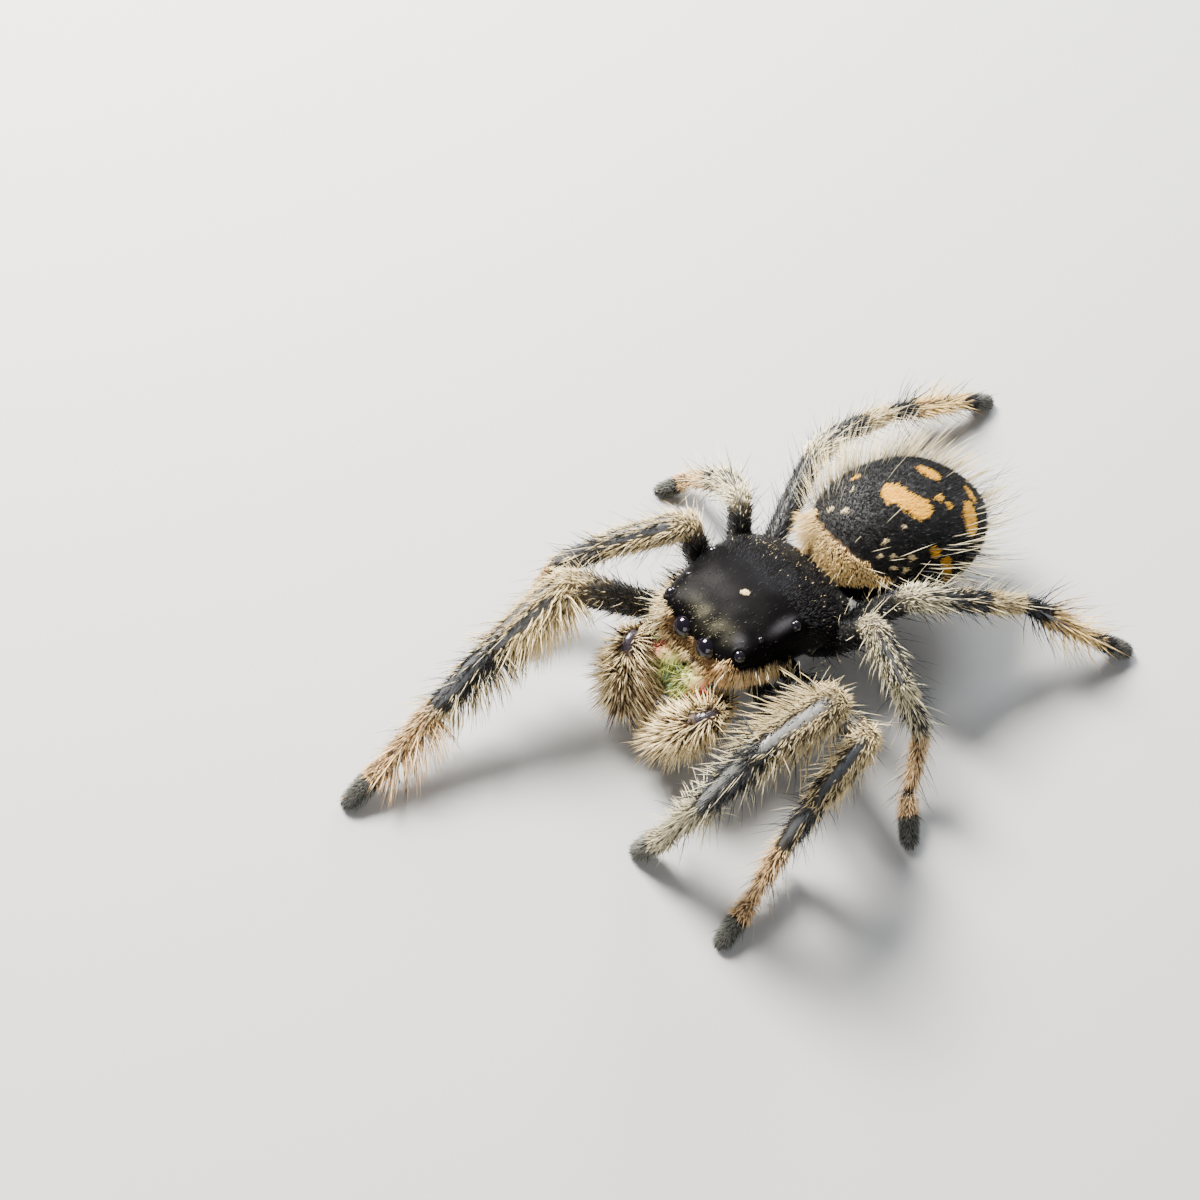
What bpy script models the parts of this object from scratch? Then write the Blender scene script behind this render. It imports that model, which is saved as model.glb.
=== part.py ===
"""Regal jumping spider, life size, standing on all eight feet with its left foreleg arched high.

The spider faces -Y, its left side is at +X and the floor is z = 0. Sizes are in millimetres up to
the point where a mesh is made. Legs are numbered from the front, r1 to r4 and l1 to l4.
"""

import math

import bmesh
import bpy
from mathutils import Vector
from mathutils.bvhtree import BVHTree

MM = 0.001
GAP = 0.04

# Half width, underside and top of the carapace at places along its length, with the squareness
# of each section: 2 is an ellipse, and more is squarer.
CARAPACE_SECTIONS = (
    (-3.74, 1.42, 3.05, 4.22, 3.0),
    (-3.58, 1.74, 2.95, 4.50, 3.0),
    (-3.10, 1.98, 2.75, 4.72, 2.9),
    (-2.30, 2.18, 2.40, 4.84, 2.8),
    (-1.30, 2.34, 2.15, 4.90, 2.6),
    (-0.40, 2.44, 2.00, 4.78, 2.4),
    (0.50, 2.42, 1.95, 4.38, 2.2),
    (1.25, 2.18, 1.95, 3.78, 2.1),
    (1.85, 1.72, 2.00, 3.20, 2.0),
    (2.22, 1.10, 2.10, 2.78, 2.0),
)
CARAPACE_SIDES = 28
FACE_Y = -3.78
BACK_Y = 2.36

# Each pair of eyes: distance from the middle line, y, z, radius, and faces round it. An eye moves
# to the nearest place on the carapace and sinks in by a share of its radius.
EYE_PAIRS = {
    "front_middle": (0.55, -4.10, 3.90, 0.34, 14),
    "front_side": (1.66, -3.30, 4.36, 0.23, 12),
    "small": (1.72, -2.45, 4.60, 0.11, 8),
    "rear": (2.02, -1.14, 4.46, 0.21, 12),
}
EYE_SUNK = 0.35
# The front of the body leans over to its right side about its own length.
BODY_ROLL = math.radians(5)
ROLL_Z = 3.0

STERNUM_HALF_WIDTH = 0.78
STERNUM_FRONT = -3.05
STERNUM_REAR = 2.35
STERNUM_LOW = 1.12
STERNUM_HIGH = 1.88
STERNUM_BEVEL = 0.22
STERNUM_SQUARENESS = 2.4
# How wide the sternum is at its underside, above that, below its top and at its top, as shares.
STERNUM_SHARES = (0.72, 0.96, 1.0, 0.86)
STERNUM_SIDES = 16

# The waist between carapace and abdomen.
WAIST_RADIUS = 0.42
WAIST_Z = 2.35
# How far behind the carapace's end each section of the waist is, and its share of the radius.
WAIST_SECTIONS = ((-0.35, 1.0), (0.10, 0.8), (0.62, 1.0))
WAIST_SIDES = 12

# The abdomen as half width, underside and top along its own axis, out to the flat coat.
ABDOMEN_START = Vector((0.14, 1.94, 0.0))
ABDOMEN_YAW = math.radians(11)
ABDOMEN_SECTIONS = (
    (0.16, 1.06, 2.40, 4.30),
    (0.62, 1.66, 1.86, 4.88),
    (1.30, 2.12, 1.46, 5.24),
    (2.20, 2.42, 1.24, 5.42),
    (3.30, 2.48, 1.16, 5.44),
    (4.35, 2.34, 1.22, 5.18),
    (5.30, 1.96, 1.42, 4.66),
    (6.04, 1.38, 1.72, 4.02),
    (6.50, 0.82, 2.00, 3.44),
)
ABDOMEN_SQUARENESS = 2.1
ABDOMEN_SIDES = 28
ABDOMEN_LENGTH = 6.70

# The spinnerets' root is inside the abdomen's end. Each section: along, half width, half height.
SPINNERET_ROOT = 0.35
SPINNERET_Z = 2.30
SPINNERET_DROOP = 0.15
SPINNERET_SECTIONS = ((0.0, 0.46, 0.34), (0.55, 0.48, 0.36), (1.05, 0.30, 0.22))
SPINNERET_SIDES = 12

# Chelicerae: the two stout jaws under the face, and the fang folded under each. Each section of
# a jaw is its height, half width, y and half depth.
CHELICERA_X = 0.62
CHELICERA_SECTIONS = (
    (2.98, 0.50, -3.98, 0.46),
    (2.60, 0.57, -4.14, 0.60),
    (2.05, 0.57, -4.20, 0.66),
    (1.50, 0.50, -4.14, 0.60),
    (1.10, 0.38, -4.04, 0.44),
)
CHELICERA_SQUARENESS = 2.3
CHELICERA_SIDES = 14
FANG_LENGTH = 0.72
FANG_RADIUS = 0.24
FANG_SAG = 0.10
FANG_TAPER = 0.75
FANG_OUTWARD = 0.3
FANG_RINGS = 4
FANG_SIDES = 8

# Palps: knee, bend and tip of each, with the coat's half width and half depth at four places.
PALP_ROOT = (1.62, -3.55, 2.05)
PALP_JOINTS = {
    "r": ((-1.72, -4.90, 2.92), (-1.22, -5.55, 2.12), (-0.86, -5.78, 1.12)),
    "l": ((2.02, -4.78, 2.86), (1.55, -5.42, 2.10), (0.86, -5.78, 1.12)),
}
PALP_HALF = {"root": 0.34, "knee": 0.50, "bend": 0.72, "tip": 0.60}
PALP_TIP_ROUND = 0.6

# Lengths of femur, patella, tibia, metatarsus and tarsus of each pair of legs.
SEGMENTS = ("femur", "patella", "tibia", "metatarsus", "tarsus")
LEG_LENGTHS = {
    "1": (4.4, 3.1, 2.9, 2.3, 1.6),
    "2": (3.7, 2.7, 2.5, 2.1, 1.4),
    "3": (3.3, 2.0, 2.2, 2.2, 1.4),
    "4": (4.0, 2.1, 3.1, 3.1, 1.5),
}
# Half width and half height of each segment at its middle, out to the flat coat, and how much
# further down the fringe of long hair under it reaches, as a share of the half height.
LEG_HALF = {
    "1": ((0.68, 0.78), (0.68, 0.76), (0.60, 0.70), (0.47, 0.52), (0.34, 0.34)),
    "2": ((0.58, 0.64), (0.56, 0.62), (0.52, 0.58), (0.42, 0.46), (0.31, 0.31)),
    "3": ((0.56, 0.62), (0.54, 0.60), (0.50, 0.55), (0.40, 0.43), (0.29, 0.29)),
    "4": ((0.58, 0.64), (0.55, 0.60), (0.51, 0.56), (0.41, 0.45), (0.29, 0.29)),
}
FRINGE = (0.15, 0.55, 0.55, 0.35, 0.0)
# Each length of a limb swells midway, narrows at a joint and ends in a rounded tip.
SWELL = 0.10
JOINT_SHARE = 0.93
FOOT_SHARE = 0.85
FOOT_ROUND = 0.7
# Where each pair's coxae leave the sternum, and their hips: y, and height.
COXA_X = 0.98
COXA_Y = {"1": -1.95, "2": -0.82, "3": 0.31, "4": 1.44}
COXA_Z = 1.55
HIP_Y = {"1": -2.25, "2": -0.95, "3": 0.40, "4": 1.60}
HIP_Z = 1.60
COXA_HALF = 0.52
HIP_HALF = (0.52, 0.56)
# The pose: how far out each hip is, the shares of its length that the femur and the rest of the
# leg reach, and the direction of each segment as degrees of azimuth from straight ahead, positive
# to the spider's left, and of elevation.
LEG_POSES = {
    "r1": (1.86, 1.08, 1.0, ((-33, 31), (-1, -21), (2, -23), (5, -23), (3, -25))),
    "l1": (2.30, 1.10, 1.0, ((79, 57), (-1, 11), (-16, -56), (-39, -68), (-42, -62))),
    "r2": (1.90, 0.88, 1.0, ((-79, 65), (-28, -13), (-52, -47), (15, -32), (-12, -38))),
    "l2": (2.25, 1.10, 1.0, ((80, 27), (11, 1), (0, -65), (17, -16), (13, -18))),
    "r3": (1.95, 0.91, 0.82, ((-117, 67), (-121, -30), (-105, -51), (-104, -50), (-30, -26))),
    "l3": (1.90, 1.04, 1.0, ((103, 63), (77, -18), (101, -55), (40, -43), (52, -22))),
    "r4": (1.84, 1.06, 1.0, ((-156, 17), (-167, -21), (-182, -17), (158, -8), (166, -28))),
    "l4": (1.86, 0.83, 1.0, ((127, 57), (158, -27), (151, -20), (130, -25), (143, -30))),
}
FOOT_Z = 0.17
# Whatever of a foot is lower than this is pressed flat on the floor.
SOLE_DEPTH = 0.13
# How much of a foot's way to the floor each joint takes, from hip to toe.
SETTLE_SHARES = (0, 0, 0.15, 0.4, 0.8, 1)
LEG_SIDES = 10
FEMUR_RINGS = (0, 0.34, 0.67, 1)
SEGMENT_RINGS = (0, 0.25, 0.5, 0.75, 1)
PALP_RINGS = (0, 0.33, 0.67, 1)

COLOURS = {
    "shell": ((0.012, 0.011, 0.012), 0.32),
    "eye": ((0.004, 0.004, 0.006), 0.05),
    "jaw": ((0.10, 0.30, 0.14), 0.25),
    "fang": ((0.05, 0.015, 0.008), 0.25),
    "palp": ((0.62, 0.50, 0.34), 0.80),
    "abdomen": ((0.015, 0.014, 0.014), 0.85),
    "dark_leg": ((0.02, 0.019, 0.02), 0.70),
    "pale_leg": ((0.55, 0.46, 0.34), 0.80),
}


def clear_scene():
    for obj in list(bpy.data.objects):
        bpy.data.objects.remove(obj, do_unlink=True)


def material(name):
    """The Principled material of this name, made once."""
    if name in bpy.data.materials:
        return bpy.data.materials[name]
    colour, roughness = COLOURS[name]
    made = bpy.data.materials.new(name)
    made.use_nodes = True
    shader = made.node_tree.nodes["Principled BSDF"]
    shader.inputs["Base Color"].default_value = (*colour, 1.0)
    shader.inputs["Roughness"].default_value = roughness
    shader.inputs["Metallic"].default_value = 0.0
    made.diffuse_color = (*colour, 1.0)
    return made


def add_mesh(name, points, faces, finish):
    """One smooth shaded object from points in millimetres."""
    mesh = bpy.data.meshes.new(name)
    mesh.from_pydata([Vector(p) * MM for p in points], [], faces)
    shape = bmesh.new()
    shape.from_mesh(mesh)
    bmesh.ops.recalc_face_normals(shape, faces=shape.faces)
    shape.to_mesh(mesh)
    shape.free()
    mesh.shade_smooth()
    mesh.set_sharp_from_angle(angle=math.radians(50))
    mesh.materials.append(material(finish))
    obj = bpy.data.objects.new(name, mesh)
    bpy.context.scene.collection.objects.link(obj)
    return obj


def loft(name, rings, finish, start=None, end=None):
    """A closed skin over rings of equal count, with a pole at either end where one is given."""
    count = len(rings[0])
    points = [p for ring in rings for p in ring]
    faces = []
    for k in range(len(rings) - 1):
        low = k * count
        for i in range(count):
            j = (i + 1) % count
            faces.append((low + i, low + j, low + count + j, low + count + i))
    ends = ((0, start), ((len(rings) - 1) * count, end))
    for first, pole in ends:
        rim = [first + i for i in range(count)]
        if pole is None:
            faces.append(rim)
            continue
        points.append(pole)
        tip = len(points) - 1
        faces.extend((rim[i], rim[(i + 1) % count], tip) for i in range(count))
    return add_mesh(name, points, faces, finish)


def superellipse(angle, half_a, half_b, power):
    """A point on a rounded square outline. A power of 2 is a plain ellipse."""
    c, s = math.cos(angle), math.sin(angle)
    return (
        half_a * math.copysign(abs(c) ** (2 / power), c),
        half_b * math.copysign(abs(s) ** (2 / power), s),
    )


def turn(k, count):
    return 2 * math.pi * k / count


def rolled(obj):
    """Lean a piece of the front of the body with the rest of it."""
    for vertex in obj.data.vertices:
        vertex.co = roll_point(vertex.co / MM) * MM
    return obj


def roll_point(point):
    """A point of the front of the body after the lean."""
    x, y, z = point
    c, s = math.cos(BODY_ROLL), math.sin(BODY_ROLL)
    up = z - ROLL_Z
    return Vector((x * c - up * s, y, ROLL_Z + x * s + up * c))


def carapace_rings(grow=0.0):
    """Sections across the carapace, made larger all round by grow."""
    rings = []
    for y, half, low, high, power in CARAPACE_SECTIONS:
        middle = (low + high) / 2
        outline = [
            superellipse(turn(k, CARAPACE_SIDES), half + grow, (high - low) / 2 + grow, power)
            for k in range(CARAPACE_SIDES)
        ]
        rings.append([(x, y, middle + z) for x, z in outline])
    return rings


def make_carapace(name, grow=0.0):
    first, last = CARAPACE_SECTIONS[0], CARAPACE_SECTIONS[-1]
    front = (0, FACE_Y - grow, (first[2] + first[3]) / 2)
    back = (0, BACK_Y + grow, (last[2] + last[3]) / 2)
    return rolled(loft(name, carapace_rings(grow), "shell", front, back))


def make_ball(name, centre, radius, sides, finish):
    shape = bmesh.new()
    bmesh.ops.create_uvsphere(
        shape, u_segments=sides, v_segments=sides // 2 + 1, radius=radius * MM
    )
    bmesh.ops.translate(shape, verts=shape.verts, vec=Vector(centre) * MM)
    mesh = bpy.data.meshes.new(name)
    shape.to_mesh(mesh)
    shape.free()
    mesh.shade_smooth()
    mesh.materials.append(material(finish))
    obj = bpy.data.objects.new(name, mesh)
    bpy.context.scene.collection.objects.link(obj)
    return obj


def cut_with(target, cutter):
    """Take the cutter's shape out of the target. The cutter stays as a hidden wire guide."""
    cutter.hide_render = True
    cutter.display_type = "WIRE"
    trim = target.modifiers.new("trim_" + cutter.name, "BOOLEAN")
    trim.operation = "DIFFERENCE"
    trim.solver = "EXACT"
    trim.object = cutter


def make_eyes(carapace):
    """Eight eyes, each sunk in a socket of its own in the carapace's surface."""
    mesh = carapace.data
    surface = BVHTree.FromPolygons(
        [v.co for v in mesh.vertices], [tuple(p.vertices) for p in mesh.polygons]
    )
    for pair, (x, y, z, radius, sides) in EYE_PAIRS.items():
        for side, sign in (("r", -1), ("l", 1)):
            spot, outward, _, _ = surface.find_nearest(roll_point((sign * x, y, z)) * MM)
            centre = spot / MM - outward * radius * EYE_SUNK
            make_ball(f"eye_{pair}_{side}", centre, radius, sides, "eye")
            socket = make_ball(f"socket_{pair}_{side}", centre, radius + GAP, sides, "eye")
            cut_with(carapace, socket)


def make_sternum():
    """The plate under the body between the coxae, with the mouth parts at its front."""
    rings = []
    length = STERNUM_REAR - STERNUM_FRONT
    middle_y = (STERNUM_REAR + STERNUM_FRONT) / 2
    heights = (
        STERNUM_LOW,
        STERNUM_LOW + STERNUM_BEVEL,
        STERNUM_HIGH - STERNUM_BEVEL,
        STERNUM_HIGH,
    )
    for z, share in zip(heights, STERNUM_SHARES):
        half, reach = STERNUM_HALF_WIDTH * share, length / 2 * share
        outline = [
            superellipse(turn(k, STERNUM_SIDES), half, reach, STERNUM_SQUARENESS)
            for k in range(STERNUM_SIDES)
        ]
        rings.append([(x, middle_y + y, z) for x, y in outline])
    rolled(loft("sternum", rings, "shell"))


def make_waist():
    """The short stalk between the carapace and the abdomen."""
    rings = []
    for behind, share in WAIST_SECTIONS:
        radius = WAIST_RADIUS * share
        ring = []
        for k in range(WAIST_SIDES):
            angle = turn(k, WAIST_SIDES)
            x, z = radius * math.cos(angle), WAIST_Z + radius * math.sin(angle)
            ring.append((x, BACK_Y + behind, z))
        rings.append(ring)
    return loft("waist", rings, "shell")


def along_abdomen(along, across, z):
    """A point in the abdomen's own directions as a point of the model."""
    ahead = Vector((math.sin(ABDOMEN_YAW), math.cos(ABDOMEN_YAW), 0))
    aside = Vector((math.cos(ABDOMEN_YAW), -math.sin(ABDOMEN_YAW), 0))
    return ABDOMEN_START + ahead * along + aside * across + Vector((0, 0, z))


def make_abdomen(name, grow=0.0):
    rings = []
    for along, half, low, high in ABDOMEN_SECTIONS:
        middle, tall = (low + high) / 2, (high - low) / 2
        outline = [
            superellipse(turn(k, ABDOMEN_SIDES), half + grow, tall + grow, ABDOMEN_SQUARENESS)
            for k in range(ABDOMEN_SIDES)
        ]
        rings.append([along_abdomen(along, x, middle + z) for x, z in outline])
    first, last = ABDOMEN_SECTIONS[0], ABDOMEN_SECTIONS[-1]
    front = along_abdomen(-grow, 0, (first[2] + first[3]) / 2)
    back = along_abdomen(ABDOMEN_LENGTH + grow, 0, (last[2] + last[3]) / 2)
    return loft(name, rings, "abdomen", front, back)


def make_spinnerets():
    """Two pairs of short silk spigots joined at one root under the abdomen's end."""
    rings = []
    for along, half, tall in SPINNERET_SECTIONS:
        place = ABDOMEN_LENGTH - SPINNERET_ROOT + along
        height = SPINNERET_Z - along * SPINNERET_DROOP
        ring = []
        for k in range(SPINNERET_SIDES):
            angle = turn(k, SPINNERET_SIDES)
            across, z = half * math.cos(angle), height + tall * math.sin(angle)
            ring.append(along_abdomen(place, across, z))
        rings.append(ring)
    return loft("spinnerets", rings, "dark_leg")


def make_chelicera(side, sign, carapace_space):
    """A stout jaw with its fang folded inwards across its tip, as one piece."""
    rings = []
    for z, half, y, deep in CHELICERA_SECTIONS:
        outline = [
            superellipse(turn(k, CHELICERA_SIDES), half, deep, CHELICERA_SQUARENESS)
            for k in range(CHELICERA_SIDES)
        ]
        rings.append([(sign * CHELICERA_X + x, y + dy, z) for x, dy in outline])
    jaw = rolled(loft(f"chelicera_{side}", rings, "jaw"))
    fang = make_fang(side, sign)
    fang.hide_render = True
    fang.display_type = "WIRE"
    join = jaw.modifiers.new("fang", "BOOLEAN")
    join.operation = "UNION"
    join.solver = "EXACT"
    join.object = fang
    cut_with(jaw, carapace_space)


def make_fang(side, sign):
    """A tapering curved fang that reaches from the jaw's outer corner towards the middle."""
    rings = []
    z, _, y, _ = CHELICERA_SECTIONS[-1]
    for k in range(FANG_RINGS):
        share = k / (FANG_RINGS - 1)
        radius = FANG_RADIUS * (1 - FANG_TAPER * share)
        x = sign * (CHELICERA_X + FANG_LENGTH * (FANG_OUTWARD - share))
        sag = FANG_SAG * math.sin(math.pi * share)
        ring = []
        for i in range(FANG_SIDES):
            angle = turn(i, FANG_SIDES)
            ring.append((x, y + radius * math.cos(angle), z - sag + radius * math.sin(angle)))
        rings.append(ring)
    return rolled(loft(f"fang_{side}", rings, "fang"))


def frame_of(direction):
    """Sideways and upward unit vectors across a direction."""
    side = direction.cross(Vector((0, 0, 1)))
    side.normalize()
    return side, side.cross(direction)


def limb(name, path, halves, cuts, finish, sides, shares, fringe=0.0, tip=None):
    """One straight length of a limb between two cut planes, or several joined at inner bends.

    path holds the points along it and halves the half width and half height at each. cuts are the
    normals of the planes at its two ends, and shares the rings along each stretch. fringe is how
    much deeper than a plain ellipse its lower half is midway.
    """
    rings = []
    for k in range(len(path) - 1):
        start, end = path[k], path[k + 1]
        direction = (end - start).normalized()
        side, up = frame_of(direction)
        normal_a = cuts[0] if k == 0 else (path[k] - path[k - 1]).normalized() + direction
        normal_b = (
            cuts[1]
            if k == len(path) - 2
            else direction + (path[k + 2] - path[k + 1]).normalized()
        )
        first_share = 0 if k == 0 else 1
        for share in shares[first_share:]:
            ring = []
            for i in range(sides):
                across = side * math.cos(turn(i, sides))
                upward = up * math.sin(turn(i, sides))
                bulge = 1 + SWELL * math.sin(math.pi * share)
                half = [
                    (halves[k][n] * (1 - share) + halves[k + 1][n] * share) * bulge
                    for n in (0, 1)
                ]
                if upward.dot(up) < 0:
                    half[1] *= 1 + fringe * math.sin(math.pi * share)
                offset = across * half[0] + upward * half[1]
                low = normal_a.dot(-offset) / normal_a.dot(direction)
                high = (end - start).length + normal_b.dot(-offset) / normal_b.dot(direction)
                gap_a = GAP / 2 if k == 0 else 0
                gap_b = GAP / 2 if k == len(path) - 2 else 0
                reach = (low + gap_a) * (1 - share) + (high - gap_b) * share
                ring.append(start + direction * reach + offset)
            rings.append(ring)
    return loft(name, rings, finish, None, tip)


def leg_points(leg):
    """Hip, knee and the further joints of a leg, down to the middle of its foot."""
    sign = -1 if leg[0] == "r" else 1
    out, femur_reach, rest_reach, directions = LEG_POSES[leg]
    point = Vector((sign * out, HIP_Y[leg[1]], HIP_Z))
    points = [point]
    reaches = (femur_reach,) + (rest_reach,) * 4
    for length, reach, (azimuth, elevation) in zip(LEG_LENGTHS[leg[1]], reaches, directions):
        a, e = math.radians(azimuth), math.radians(elevation)
        step = Vector((math.sin(a) * math.cos(e), -math.cos(a) * math.cos(e), math.sin(e)))
        point = point + step * length * reach
        points.append(point)
    return settled(points)


def settled(points):
    """The same joints with the last two let down or up so that the foot stands on the floor."""
    drop = points[-1].z - FOOT_Z
    return [p - Vector((0, 0, drop * share)) for p, share in zip(points, SETTLE_SHARES)]


def joint_normal(before, at, after):
    """The normal of the plane that halves the bend at a joint."""
    return (at - before).normalized() + (after - at).normalized()


def make_leg(leg, carapace_space):
    sign = -1 if leg[0] == "r" else 1
    joints = leg_points(leg)
    halves = LEG_HALF[leg[1]]
    coxa = Vector((sign * COXA_X, COXA_Y[leg[1]], COXA_Z))
    ends = [halves[0]]
    for k in range(1, len(SEGMENTS)):
        ends.append(tuple(JOINT_SHARE * min(halves[k - 1][n], halves[k][n]) for n in (0, 1)))
    ends.append(tuple(FOOT_SHARE * half for half in halves[-1]))
    for k, segment in enumerate(SEGMENTS):
        start, end = joints[k], joints[k + 1]
        direction = (end - start).normalized()
        last = k == len(SEGMENTS) - 1
        normal_a = joint_normal(joints[k - 1], start, end) if k else None
        normal_b = direction if last else joint_normal(start, end, joints[k + 2])
        finish = "pale_leg" if segment in ("patella", "metatarsus") else "dark_leg"
        name = f"leg_{leg}_{segment}"
        if k == 0:
            path = [coxa, start, end]
            sizes = [(COXA_HALF, COXA_HALF), HIP_HALF, ends[1]]
            cuts = ((start - coxa).normalized(), normal_b)
            femur = limb(name, path, sizes, cuts, finish, LEG_SIDES, FEMUR_RINGS, FRINGE[0])
            cut_with(femur, carapace_space)
            continue
        tip = end + direction * halves[-1][0] * FOOT_ROUND if last else None
        sizes = [ends[k], ends[k + 1]]
        cuts = (normal_a, normal_b)
        path = [start, end]
        made = limb(name, path, sizes, cuts, finish, LEG_SIDES, SEGMENT_RINGS, FRINGE[k], tip)
        if last:
            stand_on_floor(made)


def stand_on_floor(obj):
    """Press the lowest part of a foot onto the floor, which leaves a small flat sole."""
    for vertex in obj.data.vertices:
        if vertex.co.z < SOLE_DEPTH * MM:
            vertex.co.z = 0.0


def make_palp(side, sign):
    root = Vector((sign * PALP_ROOT[0], PALP_ROOT[1], PALP_ROOT[2]))
    knee, bend, tip = (Vector(p) for p in PALP_JOINTS[side])
    half = {place: (size, size) for place, size in PALP_HALF.items()}
    knee_cut = joint_normal(root, knee, bend)
    cuts = ((knee - root).normalized(), knee_cut)
    sizes = [half["root"], half["knee"]]
    limb(f"palp_{side}_upper", [root, knee], sizes, cuts, "palp", LEG_SIDES, PALP_RINGS)
    end_axis = (tip - bend).normalized()
    cuts = (knee_cut, end_axis)
    sizes = [half["knee"], half["bend"], half["tip"]]
    pole = tip + end_axis * PALP_HALF["tip"] * PALP_TIP_ROUND
    path = [knee, bend, tip]
    limb(f"palp_{side}_lower", path, sizes, cuts, "palp", LEG_SIDES, PALP_RINGS, tip=pole)


def centre_on_floor():
    """Move every mesh so that the model's box is centred on the origin and stands on z = 0."""
    shown = [o for o in bpy.data.objects if not o.hide_render]
    low = Vector((min(v.co[n] for o in shown for v in o.data.vertices) for n in range(3)))
    high = Vector((max(v.co[n] for o in shown for v in o.data.vertices) for n in range(3)))
    shift = -(low + high) / 2
    shift.z = -low.z
    for obj in bpy.data.objects:
        for vertex in obj.data.vertices:
            vertex.co += shift


def main():
    clear_scene()
    carapace = make_carapace("carapace")
    make_eyes(carapace)
    carapace_space = make_carapace("carapace_space", GAP)
    make_sternum()
    waist = make_waist()
    cut_with(waist, carapace_space)
    abdomen = make_abdomen("abdomen")
    cut_with(abdomen, carapace_space)
    abdomen_space = make_abdomen("abdomen_space", GAP)
    cut_with(waist, abdomen_space)
    spinnerets = make_spinnerets()
    cut_with(spinnerets, abdomen_space)
    for side, sign in (("r", -1), ("l", 1)):
        make_chelicera(side, sign, carapace_space)
        make_palp(side, sign)
    for leg in LEG_POSES:
        make_leg(leg, carapace_space)
    centre_on_floor()


main()
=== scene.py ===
"""Looks of the regal jumping spider: skin, shell, eyes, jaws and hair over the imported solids.

Shapes are worked out in millimetres in the spider's own directions (it faces -Y, its left is +X)
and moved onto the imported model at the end.
"""

import math

import bpy
import numpy as np
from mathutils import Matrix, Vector
from mathutils.kdtree import KDTree


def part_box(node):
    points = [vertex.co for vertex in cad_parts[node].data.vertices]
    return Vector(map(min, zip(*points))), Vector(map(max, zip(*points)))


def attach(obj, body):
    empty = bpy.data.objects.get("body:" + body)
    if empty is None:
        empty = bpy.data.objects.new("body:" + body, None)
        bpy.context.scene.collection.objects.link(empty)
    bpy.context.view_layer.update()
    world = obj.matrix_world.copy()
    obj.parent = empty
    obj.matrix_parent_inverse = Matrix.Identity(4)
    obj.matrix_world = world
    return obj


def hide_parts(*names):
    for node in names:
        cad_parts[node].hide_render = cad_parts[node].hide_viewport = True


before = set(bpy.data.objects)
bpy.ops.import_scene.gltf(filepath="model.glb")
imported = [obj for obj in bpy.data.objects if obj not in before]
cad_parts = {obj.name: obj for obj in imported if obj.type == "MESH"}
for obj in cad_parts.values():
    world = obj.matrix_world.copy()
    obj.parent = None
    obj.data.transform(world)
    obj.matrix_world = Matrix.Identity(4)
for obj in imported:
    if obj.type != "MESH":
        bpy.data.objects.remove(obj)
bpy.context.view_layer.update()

MM = 0.001
rng = np.random.default_rng(41)

# The pose, as in the solids: lengths, hips and directions of every leg.
SEGMENTS = ("femur", "patella", "tibia", "metatarsus", "tarsus")
LEG_LENGTHS = {
    "1": (4.4, 3.1, 2.9, 2.3, 1.6),
    "2": (3.7, 2.7, 2.5, 2.1, 1.4),
    "3": (3.3, 2.0, 2.2, 2.2, 1.4),
    "4": (4.0, 2.1, 3.1, 3.1, 1.5),
}
LEG_HALF = {
    "1": ((0.68, 0.78), (0.68, 0.76), (0.60, 0.70), (0.47, 0.52), (0.34, 0.34)),
    "2": ((0.58, 0.64), (0.56, 0.62), (0.52, 0.58), (0.42, 0.46), (0.31, 0.31)),
    "3": ((0.56, 0.62), (0.54, 0.60), (0.50, 0.55), (0.40, 0.43), (0.29, 0.29)),
    "4": ((0.58, 0.64), (0.55, 0.60), (0.51, 0.56), (0.41, 0.45), (0.29, 0.29)),
}
COXA_X = 0.98
COXA_Y = {"1": -1.95, "2": -0.82, "3": 0.31, "4": 1.44}
COXA_Z = 1.55
HIP_Y = {"1": -2.25, "2": -0.95, "3": 0.40, "4": 1.60}
HIP_Z = 1.60
LEG_POSES = {
    "r1": (1.86, 1.08, 1.0, ((-33, 31), (-1, -21), (2, -23), (5, -23), (3, -25))),
    "l1": (2.30, 1.10, 1.0, ((79, 57), (-1, 11), (-16, -56), (-39, -68), (-42, -62))),
    "r2": (1.90, 0.88, 1.0, ((-79, 65), (-28, -13), (-52, -47), (15, -32), (-12, -38))),
    "l2": (2.25, 1.10, 1.0, ((80, 27), (11, 1), (0, -65), (17, -16), (13, -18))),
    "r3": (1.95, 0.91, 0.82, ((-117, 67), (-121, -30), (-105, -51), (-104, -50), (-30, -26))),
    "l3": (1.90, 1.04, 1.0, ((103, 63), (77, -18), (101, -55), (40, -43), (52, -22))),
    "r4": (1.84, 1.06, 1.0, ((-156, 17), (-167, -21), (-182, -17), (158, -8), (166, -28))),
    "l4": (1.86, 0.83, 1.0, ((127, 57), (158, -27), (151, -20), (130, -25), (143, -30))),
}
FOOT_Z = 0.17
SETTLE_SHARES = (0, 0, 0.15, 0.4, 0.8, 1)
BODY_ROLL = math.radians(5)
ROLL_Z = 3.0
CARAPACE_SECTIONS = (
    (-3.74, 1.42, 3.05, 4.22, 3.0),
    (-3.58, 1.74, 2.95, 4.50, 3.0),
    (-3.10, 1.98, 2.75, 4.72, 2.9),
    (-2.30, 2.18, 2.40, 4.84, 2.8),
    (-1.30, 2.34, 2.15, 4.90, 2.6),
    (-0.40, 2.44, 2.00, 4.78, 2.4),
    (0.50, 2.42, 1.95, 4.38, 2.2),
    (1.25, 2.18, 1.95, 3.78, 2.1),
    (1.85, 1.72, 2.00, 3.20, 2.0),
    (2.22, 1.10, 2.10, 2.78, 2.0),
)
CARAPACE_ENDS = (-3.78, 2.36)
STERNUM_HALF_WIDTH = 0.78
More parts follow.
